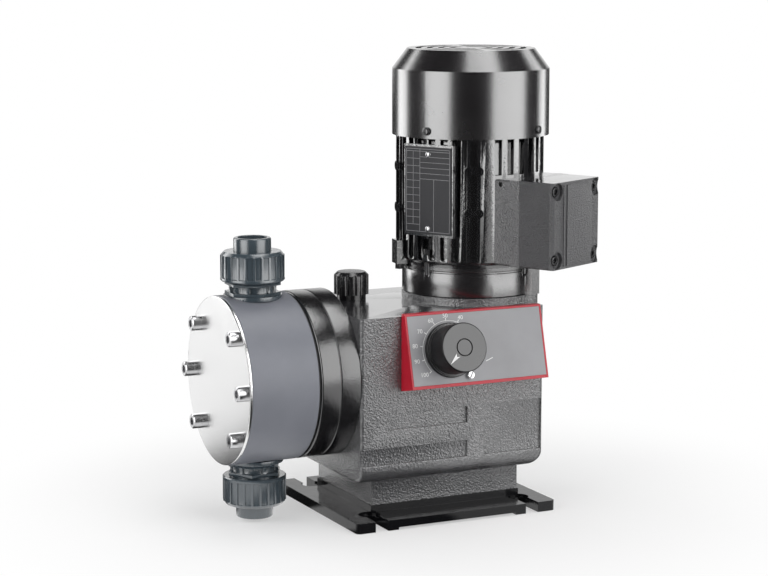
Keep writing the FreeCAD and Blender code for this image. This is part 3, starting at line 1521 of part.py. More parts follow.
def make_fan_end_shield():
    body = motor_part("fan_end_shield")
    seat = d.bearing_radius + d.seat_gap
    low, top = motor_body_high, fan_shield_top
    locate = d.motor_bore_radius - d.seat_gap
    spin(body, "Z", [
        (d.shaft_hole_radius, top), (d.shaft_hole_radius, upper_bearing + d.bearing_width),
        (seat, upper_bearing + d.bearing_width), (seat, upper_bearing), (seat + 5, upper_bearing),
        (seat + 5, low + 2), (locate - 4, low + 2), (locate - 4, low - 3), (locate, low - 3),
        (locate, low), (d.fan_shield_radius, low), (d.fan_shield_radius, top)])
    reach = d.fan_cover_radius - d.fan_cover_wall - d.seat_gap
    for angle in four_from(d.fan_cover_screw_angle):
        facing(body, "Pad", angle, [box_of(Size(-6), low, Size(6), top)],
               d.fan_shield_radius - 4, reach - 0.3)
        facing(body, "Pocket", angle, [ring_of(Size(0), low + d.fan_cover_screw_level, Size(1.9))],
               reach - 10, reach)


def make_cooling_fan():
    body = motor_part("cooling_fan")
    bore = d.bearing_bore_radius - 1
    top = fan_low + d.fan_height
    spin(body, "Z", [
        (bore, fan_low), (d.fan_radius, fan_low), (d.fan_radius, fan_low + 2), (Size(16), fan_low + 3),
        (Size(14), top), (bore, top)])
    blade = add(body, "XY", [box_of(Size(12), Size(-1), d.fan_radius, Size(1))], fan_low + 1, top)
    around(body, [blade], d.fan_blades)


def make_fan_cover():
    """Pressed steel cowl with a grille of ring-shaped slots in its flat top."""
    body = motor_part("fan_cover")
    wall = d.fan_cover_wall
    shoulder = cover_low + d.fan_cover_shoulder
    spin(body, "Z", [
        (d.fan_cover_radius - wall, cover_low), (d.fan_cover_radius, cover_low),
        (d.fan_cover_radius, shoulder), (d.fan_cover_top_radius, cover_top), (Size(0), cover_top),
        (Size(0), cover_top - wall), (d.fan_cover_top_radius - wall, cover_top - wall),
        (d.fan_cover_radius - wall, shoulder - wall / 2)])
    slots = []
    for inner in (14, 24, 34, 44):
        slots.append(groove(body, "Z", [
            (Size(inner), cover_top - 3), (Size(inner + 5), cover_top - 3),
            (Size(inner + 5), cover_top + 1), (Size(inner), cover_top + 1)], angle=76.0))
    around(body, slots, 4)
    for angle in four_from(d.fan_cover_screw_angle):
        facing(body, "Pocket", angle,
               [ring_of(Size(0), motor_body_high + d.fan_cover_screw_level, Size(2.1))],
               d.fan_cover_radius - 5, d.fan_cover_radius + 1)


def make_fan_cover_screws():
    head = Part.makeCylinder(3.6, 1.8)
    crown = Part.makeCone(3.6, 2.4, 1.0, FreeCAD.Vector(0, 0, 1.8))
    shank = Part.makeCylinder(1.85, 7, FreeCAD.Vector(0, 0, -7))
    slot = Part.makeBox(8, 0.9, 2, FreeCAD.Vector(-4, -0.45, 1.6))
    screw = head.fuse([crown, shank]).cut(slot).removeSplitter()
    places = []
    for angle in four_from(d.fan_cover_screw_angle):
        x, y = on_circle(d.fan_cover_radius + 0.1, angle)
        outwards = turn_about((0, 0, 1), angle) * turn_about((0, 1, 0), 90)
        places.append(place_at(d.motor_x + x, y, motor_body_high + d.fan_cover_screw_level, outwards))
    group("fan_cover_screws", screw, places)


# Terminal box: cast base that saddles the motor, deep cover held by four corner
# screws, terminal block inside and two blanked cable entries on the far side.

box_bottom = motor_body_low + d.box_start
box_top = box_bottom + d.box_height
half_box = d.box_width / 2
face_of_cover = d.box_outer - d.lid_panel_height
corner_screws = [(side * (half_box - d.box_screw_inset), level)
                 for side in (-1, 1)
                 for level in (box_bottom + d.box_screw_inset, box_top - d.box_screw_inset)]


def box_part(label):
    return motor_part(label, d.box_angle)


def make_terminal_box_base():
    body = box_part("terminal_box_base")
    add(body, "YZ", [box_of(-half_box, box_bottom, half_box, box_top)], d.box_inner, d.box_seam)
    soften(body, d.box_round, lambda edge: runs_along(edge, (1, 0, 0)))
    wall = d.box_wall
    cut(body, "YZ", [box_of(wall - half_box, box_bottom + wall, half_box - wall, box_top - wall)],
        d.box_floor, d.box_seam)
    pillars = [box_of(left, low, left + 14, low + 14)
               for left in (-half_box, half_box - 14) for low in (box_bottom, box_top - 14)]
    add(body, "YZ", pillars, d.box_floor - 1, d.box_seam)
    cut(body, "XY", [ring_of(Size(0), Size(0), d.motor_radius + 0.1)], box_bottom, box_top)
    cut(body, "YZ", [ring_of(y, z, d.box_screw_radius + d.seat_gap) for y, z in corner_screws],
        d.box_seam - 10, d.box_seam)
    cut(body, "XZ", [ring_of((d.box_inner + d.box_floor) / 2, box_top - d.box_hole_inset,
                             d.box_hole_radius)], -half_box, wall - half_box)


def make_terminal_box_cover():
    """Deep cover with bevelled corners, a raised panel with a bead, and spotfaced screws."""
    body = box_part("terminal_box_cover")
    bevel = face_of_cover - d.box_chamfer
    add(body, "XY", [[(d.box_seam, -half_box), (bevel, -half_box),
                      (face_of_cover, d.box_chamfer - half_box),
                      (face_of_cover, half_box - d.box_chamfer), (bevel, half_box),
                      (d.box_seam, half_box)]], box_bottom, box_top)
    soften(body, d.box_round, lambda edge: runs_along(edge, (1, 0, 0)))
    low, high = box_bottom + d.lid_panel_margin, box_top - d.lid_panel_margin
    bead_start = d.lid_bead_inset - half_box
    bead_end = bead_start + d.lid_bead_width
    add(body, "YZ", [box_of(bead_start, low, bead_end, high),
                     box_of(bead_end + d.lid_bead_gap, low, half_box - d.lid_panel_inset, high)],
        face_of_cover - 1, d.box_outer)
    wall = d.box_wall
    cut(body, "YZ", [box_of(14 - half_box, box_bottom + wall, half_box - 14, box_top - wall)],
        d.box_seam, face_of_cover - wall)
    cut(body, "YZ", [ring_of(y, z, d.box_spotface_radius) for y, z in corner_screws],
        face_of_cover - d.box_spotface_depth, d.box_outer + 1)
    counterbore = d.box_screw_head_radius + d.passing_gap
    cut(body, "YZ", [ring_of(y, z, counterbore) for y, z in corner_screws],
        face_of_cover - d.box_screw_recess, face_of_cover)
    cut(body, "YZ", [ring_of(y, z, d.box_screw_radius + d.seat_gap) for y, z in corner_screws],
        d.box_seam, face_of_cover)


def box_place(x, y, z, turn=FreeCAD.Rotation()):
    """A place given in the terminal box's own frame."""
    frame = place_at(d.motor_x, 0, 0, turn_about((0, 0, 1), d.box_angle))
    return frame * place_at(x, y, z, turn)


def make_box_cover_screws():
    face = face_of_cover - d.box_screw_recess
    length = face - d.box_seam + 9
    screw = socket_screw(d.box_screw_radius, length, d.box_screw_head_radius, 4)
    outwards = turn_about((0, 1, 0), 90)
    group("box_cover_screws", screw, [box_place(face, y, z, outwards) for y, z in corner_screws])


def make_terminal_block():
    """Moulded block with six brass studs, drawn as one insulated unit."""
    centre = (box_bottom + box_top) / 2
    block = Part.makeBox(8, 44, 26, FreeCAD.Vector(float(d.box_floor), -22, float(centre) - 13))
    studs = []
    for y in (-15, 0, 15):
        for z in (-7, 7):
            base = FreeCAD.Vector(float(d.box_floor) + 8, y, float(centre) + z)
            studs.append(Part.makeCylinder(2, 8, base, FreeCAD.Vector(1, 0, 0)))
    unit = block.fuse(studs).removeSplitter()
    group("terminal_block", unit, [box_place(0, 0, 0)])


def make_blanking_plugs():
    """Hexagon plugs with a collar, screwed into the side of the cover."""
    plug = hex_prism(float(d.plug_radius), 4.0, 1.5)
    collar = Part.makeCylinder(float(d.plug_radius) + 1, 1.5)
    unit = plug.fuse(collar).removeSplitter()
    sideways = turn_about((1, 0, 0), -90)
    x = (d.box_seam + d.box_outer) / 2
    group("blanking_plugs", unit, [box_place(x, half_box, level, sideways)
                                   for level in (box_bottom + 24, box_top - 24)])


def build_everything():
    make_base_plate()
    make_base_screws()
    make_gear_housing()
    make_filler_cap()
    make_bearing_cover()
    make_bearing_cover_screws()
    make_shaft_bearings()
    make_rod_guides()
    make_intermediate_ring()
    make_pump_head()
    make_cover_plate()
    make_head_screws()
    make_diaphragm()
    make_push_rod()
    make_diaphragm_disc()
    make_crosshead()
    make_return_spring()
    make_worm()
    make_worm_wheel()
    make_eccentric_shaft()
    make_eccentric_cams()
    make_panel_bezel()
    make_dial_plate()
    make_adjuster_knob()
    make_adjuster_spindle()
    make_lock_screw()
    for side in ("suction", "discharge"):
        make_valve_body(side)
        make_ball(side)
        make_tailpiece(side)
        make_union_nut(side)
    make_valve_seats()
    make_valve_o_rings()
    make_drive_end_shield()
    make_motor_screws()
    make_motor_housing()
    make_shield_screws()
    make_nameplate()
    make_stator()
    make_rotor()
    make_motor_bearings()
    make_fan_end_shield()
    make_cooling_fan()
    make_fan_cover()
    make_fan_cover_screws()
    make_terminal_box_base()
    make_terminal_box_cover()
    make_box_cover_screws()
    make_terminal_block()
    make_blanking_plugs()


def check_pieces():
    """Stop when any object failed to build."""
    for thing in doc.Objects:
        if any(flag in thing.State for flag in ("Invalid", "Error")):
            raise RuntimeError(f"{thing.Label} did not build: {thing.State}")
    for piece in pieces:
        if piece.Shape.isNull() or not piece.Shape.isValid():
            raise RuntimeError(f"{piece.Label} has no valid shape")


def export_pieces():
    os.makedirs("parts", exist_ok=True)
    for piece in pieces:
        piece.Shape.exportStep(f"parts/{piece.Label}.step")


build_everything()
doc.recompute()
check_pieces()
export_pieces()
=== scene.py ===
import bpy
import bmesh
import json
import math
import numpy as np
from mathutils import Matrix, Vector


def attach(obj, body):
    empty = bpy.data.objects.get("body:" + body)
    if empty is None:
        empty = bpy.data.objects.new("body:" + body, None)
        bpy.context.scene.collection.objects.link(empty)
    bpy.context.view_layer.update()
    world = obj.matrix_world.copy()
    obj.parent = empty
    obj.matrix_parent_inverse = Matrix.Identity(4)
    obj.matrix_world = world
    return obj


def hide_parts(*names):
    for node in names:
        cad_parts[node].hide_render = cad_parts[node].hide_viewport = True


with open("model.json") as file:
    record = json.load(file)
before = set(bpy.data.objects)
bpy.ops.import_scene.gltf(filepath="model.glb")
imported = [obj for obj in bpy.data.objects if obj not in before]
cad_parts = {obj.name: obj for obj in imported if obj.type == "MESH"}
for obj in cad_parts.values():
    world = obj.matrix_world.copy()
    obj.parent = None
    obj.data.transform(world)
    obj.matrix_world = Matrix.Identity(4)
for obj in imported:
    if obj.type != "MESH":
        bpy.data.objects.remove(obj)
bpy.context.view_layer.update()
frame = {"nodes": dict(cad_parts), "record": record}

# Camera: a long lens a little above the pump and to its front left, with the photo's
# framing. The direction is a turn from +Y towards +X and a dip below the horizon.
CAMERA_PLACE = (-0.88388, -1.77662, 0.50779)
CAMERA_TURN, CAMERA_DIP = 25.68, 9.02

camera_data = bpy.data.cameras.new("camera")
camera_data.lens, camera_data.sensor_width = 106.2, 36.0
camera = bpy.data.objects.new("camera", camera_data)
camera.location = CAMERA_PLACE
camera.rotation_euler = (math.radians(90 - CAMERA_DIP), 0, -math.radians(CAMERA_TURN))
bpy.context.scene.collection.objects.link(camera)
bpy.context.scene.camera = camera
bpy.context.scene.view_settings.view_transform = "Standard"

# Studio: a white sweep behind the pump and a dark room on the camera's side. Glossy black
# paint shows both, so the sky is graded from one to the other by how far a direction leans
# to the backdrop. The camera sees it white all over.
BACKDROP = (0.433, 0.901, 0.0)
BACKDROP_EDGE = (0.84, 0.96)
ROOM_TO_BACKDROP = (0.02, 0.9)
WHITE = (1.0, 1.0, 1.0, 1.0)


def graded(tree, value, span, levels=(0.0, 1.0), smooth=False):
    """Map a span of a value to two levels, evenly or with soft ends."""
    grade = tree.nodes.new("ShaderNodeMapRange")
    grade.interpolation_type = "SMOOTHSTEP" if smooth else "LINEAR"
    for socket, number in zip(("From Min", "From Max", "To Min", "To Max"), (*span, *levels)):
        grade.inputs[socket].default_value = number
    tree.links.new(value, grade.inputs["Value"])
    return grade.outputs["Result"]


def mixed(tree, share, first, second):
    """Go from the first shader to the second by a share from 0 to 1."""
    mix = tree.nodes.new("ShaderNodeMixShader")
    for place, source in enumerate((share, first, second)):
        tree.links.new(source, mix.inputs[place])
    return mix.outputs["Shader"]


world = bpy.data.worlds.new("studio")
bpy.context.scene.world = world
world.use_nodes = True
sky = world.node_tree
sky.nodes.clear()
sky_way = sky.nodes.new("ShaderNodeTexCoord")
sky_lean = sky.nodes.new("ShaderNodeVectorMath")
sky_lean.operation = "DOT_PRODUCT"
sky_lean.inputs[1].default_value = BACKDROP
sky.links.new(sky_way.outputs["Generated"], sky_lean.inputs[0])
sky_lit = sky.nodes.new("ShaderNodeBackground")
sky.links.new(graded(sky, sky_lean.outputs["Value"], BACKDROP_EDGE, ROOM_TO_BACKDROP, smooth=True),
              sky_lit.inputs["Color"])
sky_seen = sky.nodes.new("ShaderNodeBackground")
sky_seen.inputs["Color"].default_value = WHITE
sky_rays = sky.nodes.new("ShaderNodeLightPath")
sky_out = sky.nodes.new("ShaderNodeOutputWorld")
sky.links.new(mixed(sky, sky_rays.outputs["Is Camera Ray"], sky_lit.outputs["Background"],
                    sky_seen.outputs["Background"]), sky_out.inputs["Surface"])

# Floor: matt white paper. The camera sees it fade into the white backdrop around the pump's
# soft shadow, by the distance from the middle. Reflections see painted glowing images of the
# lamps on it, a painted reflection, dark between them, placed by the angle from the camera's
# side in degrees.
FLOOR_HALF, FLOOR_LEVEL = 6.0, -0.0003
FADE_RADII, FADE_SHARES = (0.12, 0.42), (0.45, 1.0)
CAMERA_SIDE = -116.4
# Painted lamp images on the floor: spans of angle from the camera's side, in degrees.
PAINTED_LAMP_IMAGES = ((-135, -106), (-72, -29), (28, 87), (116, 138))
IMAGE_BLUR, DARK, BRIGHT = 3, 0.03, 1.0

floor_mesh = bpy.data.meshes.new("floor")
floor_mesh.from_pydata([(x * FLOOR_HALF, y * FLOOR_HALF, FLOOR_LEVEL)
                        for x, y in ((-1, -1), (1, -1), (1, 1), (-1, 1))], [], [(0, 1, 2, 3)])
floor = bpy.data.objects.new("floor", floor_mesh)
bpy.context.scene.collection.objects.link(floor)
white_paper = bpy.data.materials.new("white_paper")
white_paper.use_nodes = True
paper = white_paper.node_tree
paper_surface = paper.nodes["Principled BSDF"]
paper_surface.inputs["Base Color"].default_value = (0.86, 0.86, 0.86, 1)
paper_surface.inputs["Roughness"].default_value = 0.9
paper_surface.inputs["Specular IOR Level"].default_value = 0.0
paper_place = paper.nodes.new("ShaderNodeTexCoord")
paper_reach = paper.nodes.new("ShaderNodeVectorMath")
paper_reach.operation = "LENGTH"
paper.links.new(paper_place.outputs["Object"], paper_reach.inputs[0])
paper_glow = paper.nodes.new("ShaderNodeEmission")
paper_glow.inputs["Color"].default_value = WHITE
paper_seen = mixed(paper, graded(paper, paper_reach.outputs["Value"], FADE_RADII, FADE_SHARES,
                                 smooth=True),
                   paper_surface.outputs["BSDF"], paper_glow.outputs["Emission"])

# Painted reflection: the paper glows in bands where the lamps stand and is dark between them.
paper_aim = paper.nodes.new("ShaderNodeVectorRotate")
paper_aim.rotation_type = "Z_AXIS"
paper_aim.inputs["Angle"].default_value = -math.radians(CAMERA_SIDE)
paper.links.new(paper_place.outputs["Object"], paper_aim.inputs["Vector"])
paper_parts = paper.nodes.new("ShaderNodeSeparateXYZ")
paper.links.new(paper_aim.outputs["Vector"], paper_parts.inputs["Vector"])
paper_angle = paper.nodes.new("ShaderNodeMath")
paper_angle.operation = "ARCTAN2"
paper.links.new(paper_parts.outputs["Y"], paper_angle.inputs[0])
paper.links.new(paper_parts.outputs["X"], paper_angle.inputs[1])
painted_lamp_bands = paper.nodes.new("ShaderNodeValToRGB")
paper.links.new(graded(paper, paper_angle.outputs["Value"], (-math.pi, math.pi)),
                painted_lamp_bands.inputs["Fac"])
stops = painted_lamp_bands.color_ramp.elements
stops[0].color = (DARK, DARK, DARK, 1)
stops.remove(stops[1])
for low, high in PAINTED_LAMP_IMAGES:
    for angle, level in ((low - IMAGE_BLUR, DARK), (low + IMAGE_BLUR, BRIGHT),
                         (high - IMAGE_BLUR, BRIGHT), (high + IMAGE_BLUR, DARK)):
        stops.new(angle / 360 + 0.5).color = (level, level, level, 1)
painted_lamp_glow = paper.nodes.new("ShaderNodeEmission")
paper.links.new(painted_lamp_bands.outputs["Color"], painted_lamp_glow.inputs["Color"])

paper_rays = paper.nodes.new("ShaderNodeLightPath")
paper_lit = mixed(paper, paper_rays.outputs["Is Camera Ray"], paper_surface.outputs["BSDF"],
                  paper_seen)
# Glossy rays see only the painted lamp glow, not the lit paper.
paper_lit = mixed(paper, paper_rays.outputs["Is Glossy Ray"], paper_lit,
                  painted_lamp_glow.outputs["Emission"])
paper.links.new(paper_lit, paper.nodes["Material Output"].inputs["Surface"])
floor_mesh.materials.append(white_paper)

# Lamps: two wide softboxes left and right of the camera, two narrow ones behind the pump
# and one overhead. Each stands at an azimuth, a distance and a level round the motor.
MOTOR_X, AIM_LEVEL = 0.03, 0.2


def softbox(name, azimuth, distance, level, size, power):
    """Area lamp on a circle round the motor, turned to face its axis."""
    lamp = bpy.data.lights.new(name, "AREA")
    lamp.shape = "RECTANGLE"
    lamp.size, lamp.size_y = size
    lamp.energy = power
    holder = bpy.data.objects.new(name, lamp)
    angle = math.radians(azimuth)
    holder.location = (MOTOR_X + distance * math.cos(angle), distance * math.sin(angle), level)
    aim = Vector((MOTOR_X, 0, AIM_LEVEL)) - holder.location
    holder.rotation_euler = aim.to_track_quat("-Z", "Y").to_euler()
    bpy.context.scene.collection.objects.link(holder)


softbox("left_softbox", -166.4, 1.6, 0.75, (1.23, 1.5), 17)
softbox("right_softbox", -59.4, 1.6, 0.75, (1.75, 1.5), 22)
softbox("left_rear_strip", 124.1, 1.6, 0.7, (0.75, 1.4), 9)
softbox("right_rear_strip", 10.6, 1.6, 0.7, (0.56, 1.4), 5)
softbox("top_softbox", -25.0, 0.32, 1.95, (1.5, 1.0), 15)


# Gear housing: box of grey cast iron that carries the head and the motor, with a cover over
# the shaft's far bearing. A tough black stoving paint lies on both: its thick orange-peel
# skin covers the grain of the sand mould, and only the machined roof is smooth.
def new_skin_group():
    """Grain of a coated casting: two noises, a coarse and a fine one, each of which tilts
    the normal by its depth, and a slow third noise as the tone."""
    group = bpy.data.node_groups.new("casting_skin", "ShaderNodeTree")
    for name in ("Grain Size", "Grain Depth", "Peel Size", "Peel Depth"):
        group.interface.new_socket(name, in_out="INPUT", socket_type="NodeSocketFloat")
    group.interface.new_socket("Normal", in_out="OUTPUT", socket_type="NodeSocketVector")
    group.interface.new_socket("Tone", in_out="OUTPUT", socket_type="NodeSocketFloat")
    nodes, links = group.nodes, group.links
    given, found = nodes.new("NodeGroupInput"), nodes.new("NodeGroupOutput")
    place = nodes.new("ShaderNodeTexCoord")
    normal = None
    for layer, detail in (("Grain", 2.0), ("Peel", 1.0)):
        per_size = nodes.new("ShaderNodeMath")
        per_size.operation = "DIVIDE"
        per_size.inputs[0].default_value = 1000.0
        links.new(given.outputs[f"{layer} Size"], per_size.inputs[1])
        noise = nodes.new("ShaderNodeTexNoise")
        noise.inputs["Detail"].default_value = detail
        links.new(place.outputs["Object"], noise.inputs["Vector"])
        links.new(per_size.outputs[0], noise.inputs["Scale"])
        bump = nodes.new("ShaderNodeBump")
        bump.inputs["Distance"].default_value = 0.001
        links.new(given.outputs[f"{layer} Depth"], bump.inputs["Strength"])
        links.new(noise.outputs["Fac"], bump.inputs["Height"])
        if normal:
            links.new(normal, bump.inputs["Normal"])
        normal = bump.outputs["Normal"]
    links.new(normal, found.inputs["Normal"])
    tone = nodes.new("ShaderNodeTexNoise")
    tone.inputs["Scale"].default_value = 30.0
    tone.inputs["Detail"].default_value = 5.0
    links.new(place.outputs["Object"], tone.inputs["Vector"])
    links.new(graded(group, tone.outputs["Fac"], (0.3, 0.7)), found.inputs["Tone"])
    return group


casting_skin = new_skin_group()


def coated(name, colors, gloss, grain, peel, specular=0.5, coat=(0.0, 1.5, 0.1), metallic=0.0):
    """Coated or moulded surface: two near colours and a roughness range, both mixed by the
    skin's tone, a (size in mm, depth) pair for each of the skin's two layers, and the
    weight, refraction and roughness of a clear coat."""
    material = bpy.data.materials.new(name)
    material.use_nodes = True
    nodes, links = material.node_tree.nodes, material.node_tree.links
    surface = nodes["Principled BSDF"]
    skin = nodes.new("ShaderNodeGroup")
    skin.node_tree = casting_skin
    for layer, (size, depth) in (("Grain", grain), ("Peel", peel)):
        skin.inputs[f"{layer} Size"].default_value = size
        skin.inputs[f"{layer} Depth"].default_value = depth
    tint = nodes.new("ShaderNodeMix")
    tint.data_type = "RGBA"
    tint.inputs["A"].default_value = (*colors[0], 1)
    tint.inputs["B"].default_value = (*colors[1], 1)
    links.new(skin.outputs["Tone"], tint.inputs["Factor"])
    links.new(tint.outputs["Result"], surface.inputs["Base Color"])
    links.new(graded(material.node_tree, skin.outputs["Tone"], (0.0, 1.0), gloss),
              surface.inputs["Roughness"])
    for socket in ("Normal", "Coat Normal"):
        links.new(skin.outputs["Normal"], surface.inputs[socket])
    for socket, number in (("Specular IOR Level", specular), ("Metallic", metallic),
                           ("Coat Weight", coat[0]), ("Coat IOR", coat[1]),
                           ("Coat Roughness", coat[2])):
        surface.inputs[socket].default_value = number
    return material


def body_of(node):
    """The moving body that a CAD node belongs to."""
    return next(body for body, members in frame["record"]["behaviour"]["bodies"].items()
                if node in members)


def dress(node, material, edge=0.0004, crease=math.radians(35.0), merge=True):
    """Stand a fair copy in for a CAD node: its triangles welded and the flat ones merged,
    edges sharper than the crease rounded by two facets, and the rest shaded smooth."""
    mesh = frame["nodes"][node].data.copy()
    mesh.name = f"{node}_finished"
    work = bmesh.new()
    work.from_mesh(mesh)
    bmesh.ops.remove_doubles(work, verts=work.verts, dist=0.00001)
    if merge:
        bmesh.ops.dissolve_limit(work, angle_limit=math.radians(0.6), verts=work.verts,
                                 edges=work.edges)
    work.to_mesh(mesh)
    work.free()
    mesh.materials.clear()
    mesh.materials.append(material)
    mesh.shade_smooth()
    mesh.set_sharp_from_angle(angle=crease)
    piece = bpy.data.objects.new(f"{node}_finished", mesh)
    bpy.context.scene.collection.objects.link(piece)
    bevel = piece.modifiers.new("rounded_edges", "BEVEL")
    bevel.width, bevel.segments = edge, 2
    bevel.limit_method, bevel.angle_limit = "ANGLE", crease
    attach(piece, body_of(node))
    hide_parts(node)
    return piece


def face_off(piece, material, direction, limit=0.98):
    """Give a second material to the faces that look along a direction: those whose normal
    times the direction is above the limit."""
    mesh = piece.data
    mesh.materials.append(material)
    normals = np.empty(len(mesh.polygons) * 3)
    mesh.polygons.foreach_get("normal", normals)
    chosen = normals.reshape(-1, 3) @ np.array(direction) > limit
    mesh.polygons.foreach_set("material_index", chosen.astype(np.int32))


UP = (0.0, 0.0, 1.0)
housing_paint = coated("housing_paint", ((0.056, 0.056, 0.059), (0.074, 0.074, 0.078)),
                       (0.18, 0.26), grain=(2.0, 0.7), peel=(1.2, 0.6), specular=1.0,
                       coat=(0.8, 1.8, 0.10))
smooth_paint = coated("smooth_paint", ((0.030, 0.030, 0.032), (0.040, 0.040, 0.043)),
                      (0.16, 0.22), grain=(4.0, 0.10), peel=(1.4, 0.04), specular=1.0,
                      coat=(1.0, 2.0, 0.10))
face_off(dress("gear_housing", housing_paint, edge=0.0011), smooth_paint, UP)
dress("bearing_cover", housing_paint)

# Base plate: rolled steel plate with a raised seat and fixing slots, under a thin glossy
# black enamel that mirrors the housing's foot. Four socket screws hold it from below.
enamel = coated("enamel", ((0.005, 0.005, 0.006), (0.008, 0.008, 0.009)), (0.10, 0.16),
                grain=(6.0, 0.10), peel=(1.2, 0.03), specular=0.35)
dress("base_plate", enamel, edge=0.0006)

# Intermediate ring: turned iron casting between the housing and the head, with a satin
# black paint. The six head screws run through it, and it clamps the diaphragm's rim.
satin_paint = coated("satin_paint", ((0.006, 0.006, 0.007), (0.010, 0.010, 0.011)),
                     (0.20, 0.26), grain=(3.0, 0.10), peel=(0.9, 0.10), specular=1.0,
                     coat=(0.5, 1.8, 0.15))
dress("intermediate_ring", satin_paint)

# Filler cap: fluted moulding of black nylon, screwed by hand into the housing's roof. The
# plugs in the terminal box's two cable entries are moulded from the same nylon.
black_moulding = coated("black_moulding", ((0.006, 0.006, 0.007), (0.010, 0.010, 0.011)),
                        (0.2, 0.28), grain=(1.5, 0.06), peel=(0.6, 0.05), specular=1.0)
for node in ("filler_cap", "blanking_plugs"):
    dress(node, black_moulding, edge=0.0003)

# Motor: finned body and upper end shield, both die-cast in aluminium with a hard glossy
# black paint. Screws hold the body between its end shields.
motor_paint = coated("motor_paint", ((0.004, 0.004, 0.005), (0.007, 0.007, 0.008)),
                     (0.14, 0.20), grain=(5.0, 0.15), peel=(1.3, 0.06), specular=1.0,
                     coat=(1.0, 1.9, 0.10))
for node in ("motor_housing", "fan_end_shield"):
    dress(node, motor_paint, edge=0.0005)

# Fan cover: cap of deep-drawn steel with a slotted top, held by small screws round its rim.
# It has a satin black powder coat, and so has the end shield at the motor's foot.
powder_coat = coated("powder_coat", ((0.006, 0.005, 0.006), (0.009, 0.008, 0.009)),
                     (0.24, 0.28), grain=(3.0, 0.03), peel=(0.7, 0.04), specular=1.0,
                     coat=(1.0, 2.0, 0.19))
for node in ("fan_cover", "drive_end_shield"):
    dress(node, powder_coat, edge=0.0005)

# Terminal box: two die-cast shells on the motor's side, the cover held by four screws.
# Their walls have a stippled black paint, duller on the cover, and their tops are smooth.
stipple = coated("stipple", ((0.056, 0.056, 0.059), (0.078, 0.078, 0.082)), (0.24, 0.30),
                 grain=(1.2, 0.9), peel=(0.7, 0.5), specular=1.0, coat=(0.8, 1.8, 0.12))
dull_stipple = coated("dull_stipple", ((0.042, 0.042, 0.045), (0.056, 0.056, 0.060)),
                      (0.28, 0.36), grain=(1.2, 0.9), peel=(0.7, 0.5), specular=0.9)
face_off(dress("terminal_box_base", stipple, edge=0.0006), smooth_paint, UP)
face_off(dress("terminal_box_cover", dull_stipple, edge=0.0006), smooth_paint, UP)

# Panel: bezel moulded in red plastic and set on the housing's near side, leaning back, with
# a grey foil-faced dial plate let into it. The scale and its numbers are white print, placed
# along the panel's own right and up directions round the foot of the knob's axis.
PANEL_OUT = np.array((0.0, -0.9672, 0.2539))
PANEL_RIGHT = np.array((1.0, 0.0, 0.0))
PANEL_UP = np.array((0.0, 0.2539, 0.9672))
KNOB_FOOT = np.array((-0.009, -0.08672, 0.152))
FULL_STROKE_ANGLE, DEGREES_PER_PERCENT = 220.0, 2.57
TICK_RADII, TICK_WIDTH = (0.0252, 0.0280), 0.0007
ARC_RADIUS, ARC_WIDTH, ARC_POINTS = 0.0256, 0.0004, 97
MARK = ((0.0337, -0.0119), (0.0404, -0.0094))
FIRST_NUMBER, NUMBER_SIZE, NUMBER_RADII = 40, 0.0051, (0.0330, 0.0298)
WIDE_NUMBER_SHIFT = 0.001

red_moulding = coated("red_moulding", ((0.42, 0.006, 0.020), (0.50, 0.009, 0.028)),
                      (0.30, 0.38), grain=(1.5, 0.05), peel=(0.6, 0.06))
dial_foil = coated("dial_foil", ((0.26, 0.26, 0.27), (0.30, 0.30, 0.315)), (0.30, 0.38),
                   grain=(0.8, 0.05), peel=(0.5, 0.05))
print_white = coated("print_white", ((0.74, 0.74, 0.74), (0.82, 0.82, 0.82)), (0.4, 0.5),
                     grain=(0.8, 0.05), peel=(0.5, 0.05))
dress("panel_bezel", red_moulding, edge=0.0008)
dress("dial_plate", dial_foil, edge=0.0001)


def corner_points(mesh):
    """All corner points of a mesh, one row of x, y and z for each."""
    points = np.empty(len(mesh.vertices) * 3)
    mesh.vertices.foreach_get("co", points)
    return points.reshape(-1, 3)


def world_points(node):
    """All corner points of a CAD node in the pump's frame: its turn times each point, plus
    its place."""
    holder = frame["nodes"][node]
    turn = np.array(holder.matrix_world)
    return corner_points(holder.data) @ turn[:3, :3].T + turn[:3, 3]


def foremost(points, foot, out):
    """The foot point moved outwards until it is level with the foremost of the points."""
    return foot + out * ((points - foot) @ out).max()


def printed(name, outlines, origin, right, up, body, material, thickness=0.00006):
    """Thin raised print. Each outline is a closed run of (x, y) corners in metres, and its
    points are origin + x * right + y * up, once at the face and once above it."""
    out = np.cross(right, up)
    points, faces, start = [], [], 0
    for outline in outlines:
        corners = np.asarray(outline, dtype=float)
        flat = origin + corners[:, :1] * right + corners[:, 1:] * up
        points += [flat, flat + thickness * out]
        low = start + np.arange(len(corners))
        high = low + len(corners)
        walls = np.stack((low, np.roll(low, -1), np.roll(high, -1), high), axis=1)
        faces += [high.tolist(), low[::-1].tolist(), *walls.tolist()]
        start += 2 * len(corners)
    mesh = bpy.data.meshes.new(name)
    mesh.from_pydata(np.concatenate(points).tolist(), [], faces)
    mesh.materials.append(material)
    piece = bpy.data.objects.new(name, mesh)
    bpy.context.scene.collection.objects.link(piece)
    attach(piece, body)


def bar(start, end, width):
    """Outline of a straight line of print: both ends, moved half a width to each side."""
    start, end = np.array(start), np.array(end)
    along = (end - start) / np.linalg.norm(end - start)
    side = np.array((-along[1], along[0])) * width / 2
    return [start - side, end - side, end + side, start + side]


def around(angle, radius):
    """Point on a circle: radius times the angle's cosine and sine, in degrees and metres."""
    return radius * np.array((math.cos(math.radians(angle)), math.sin(math.radians(angle))))


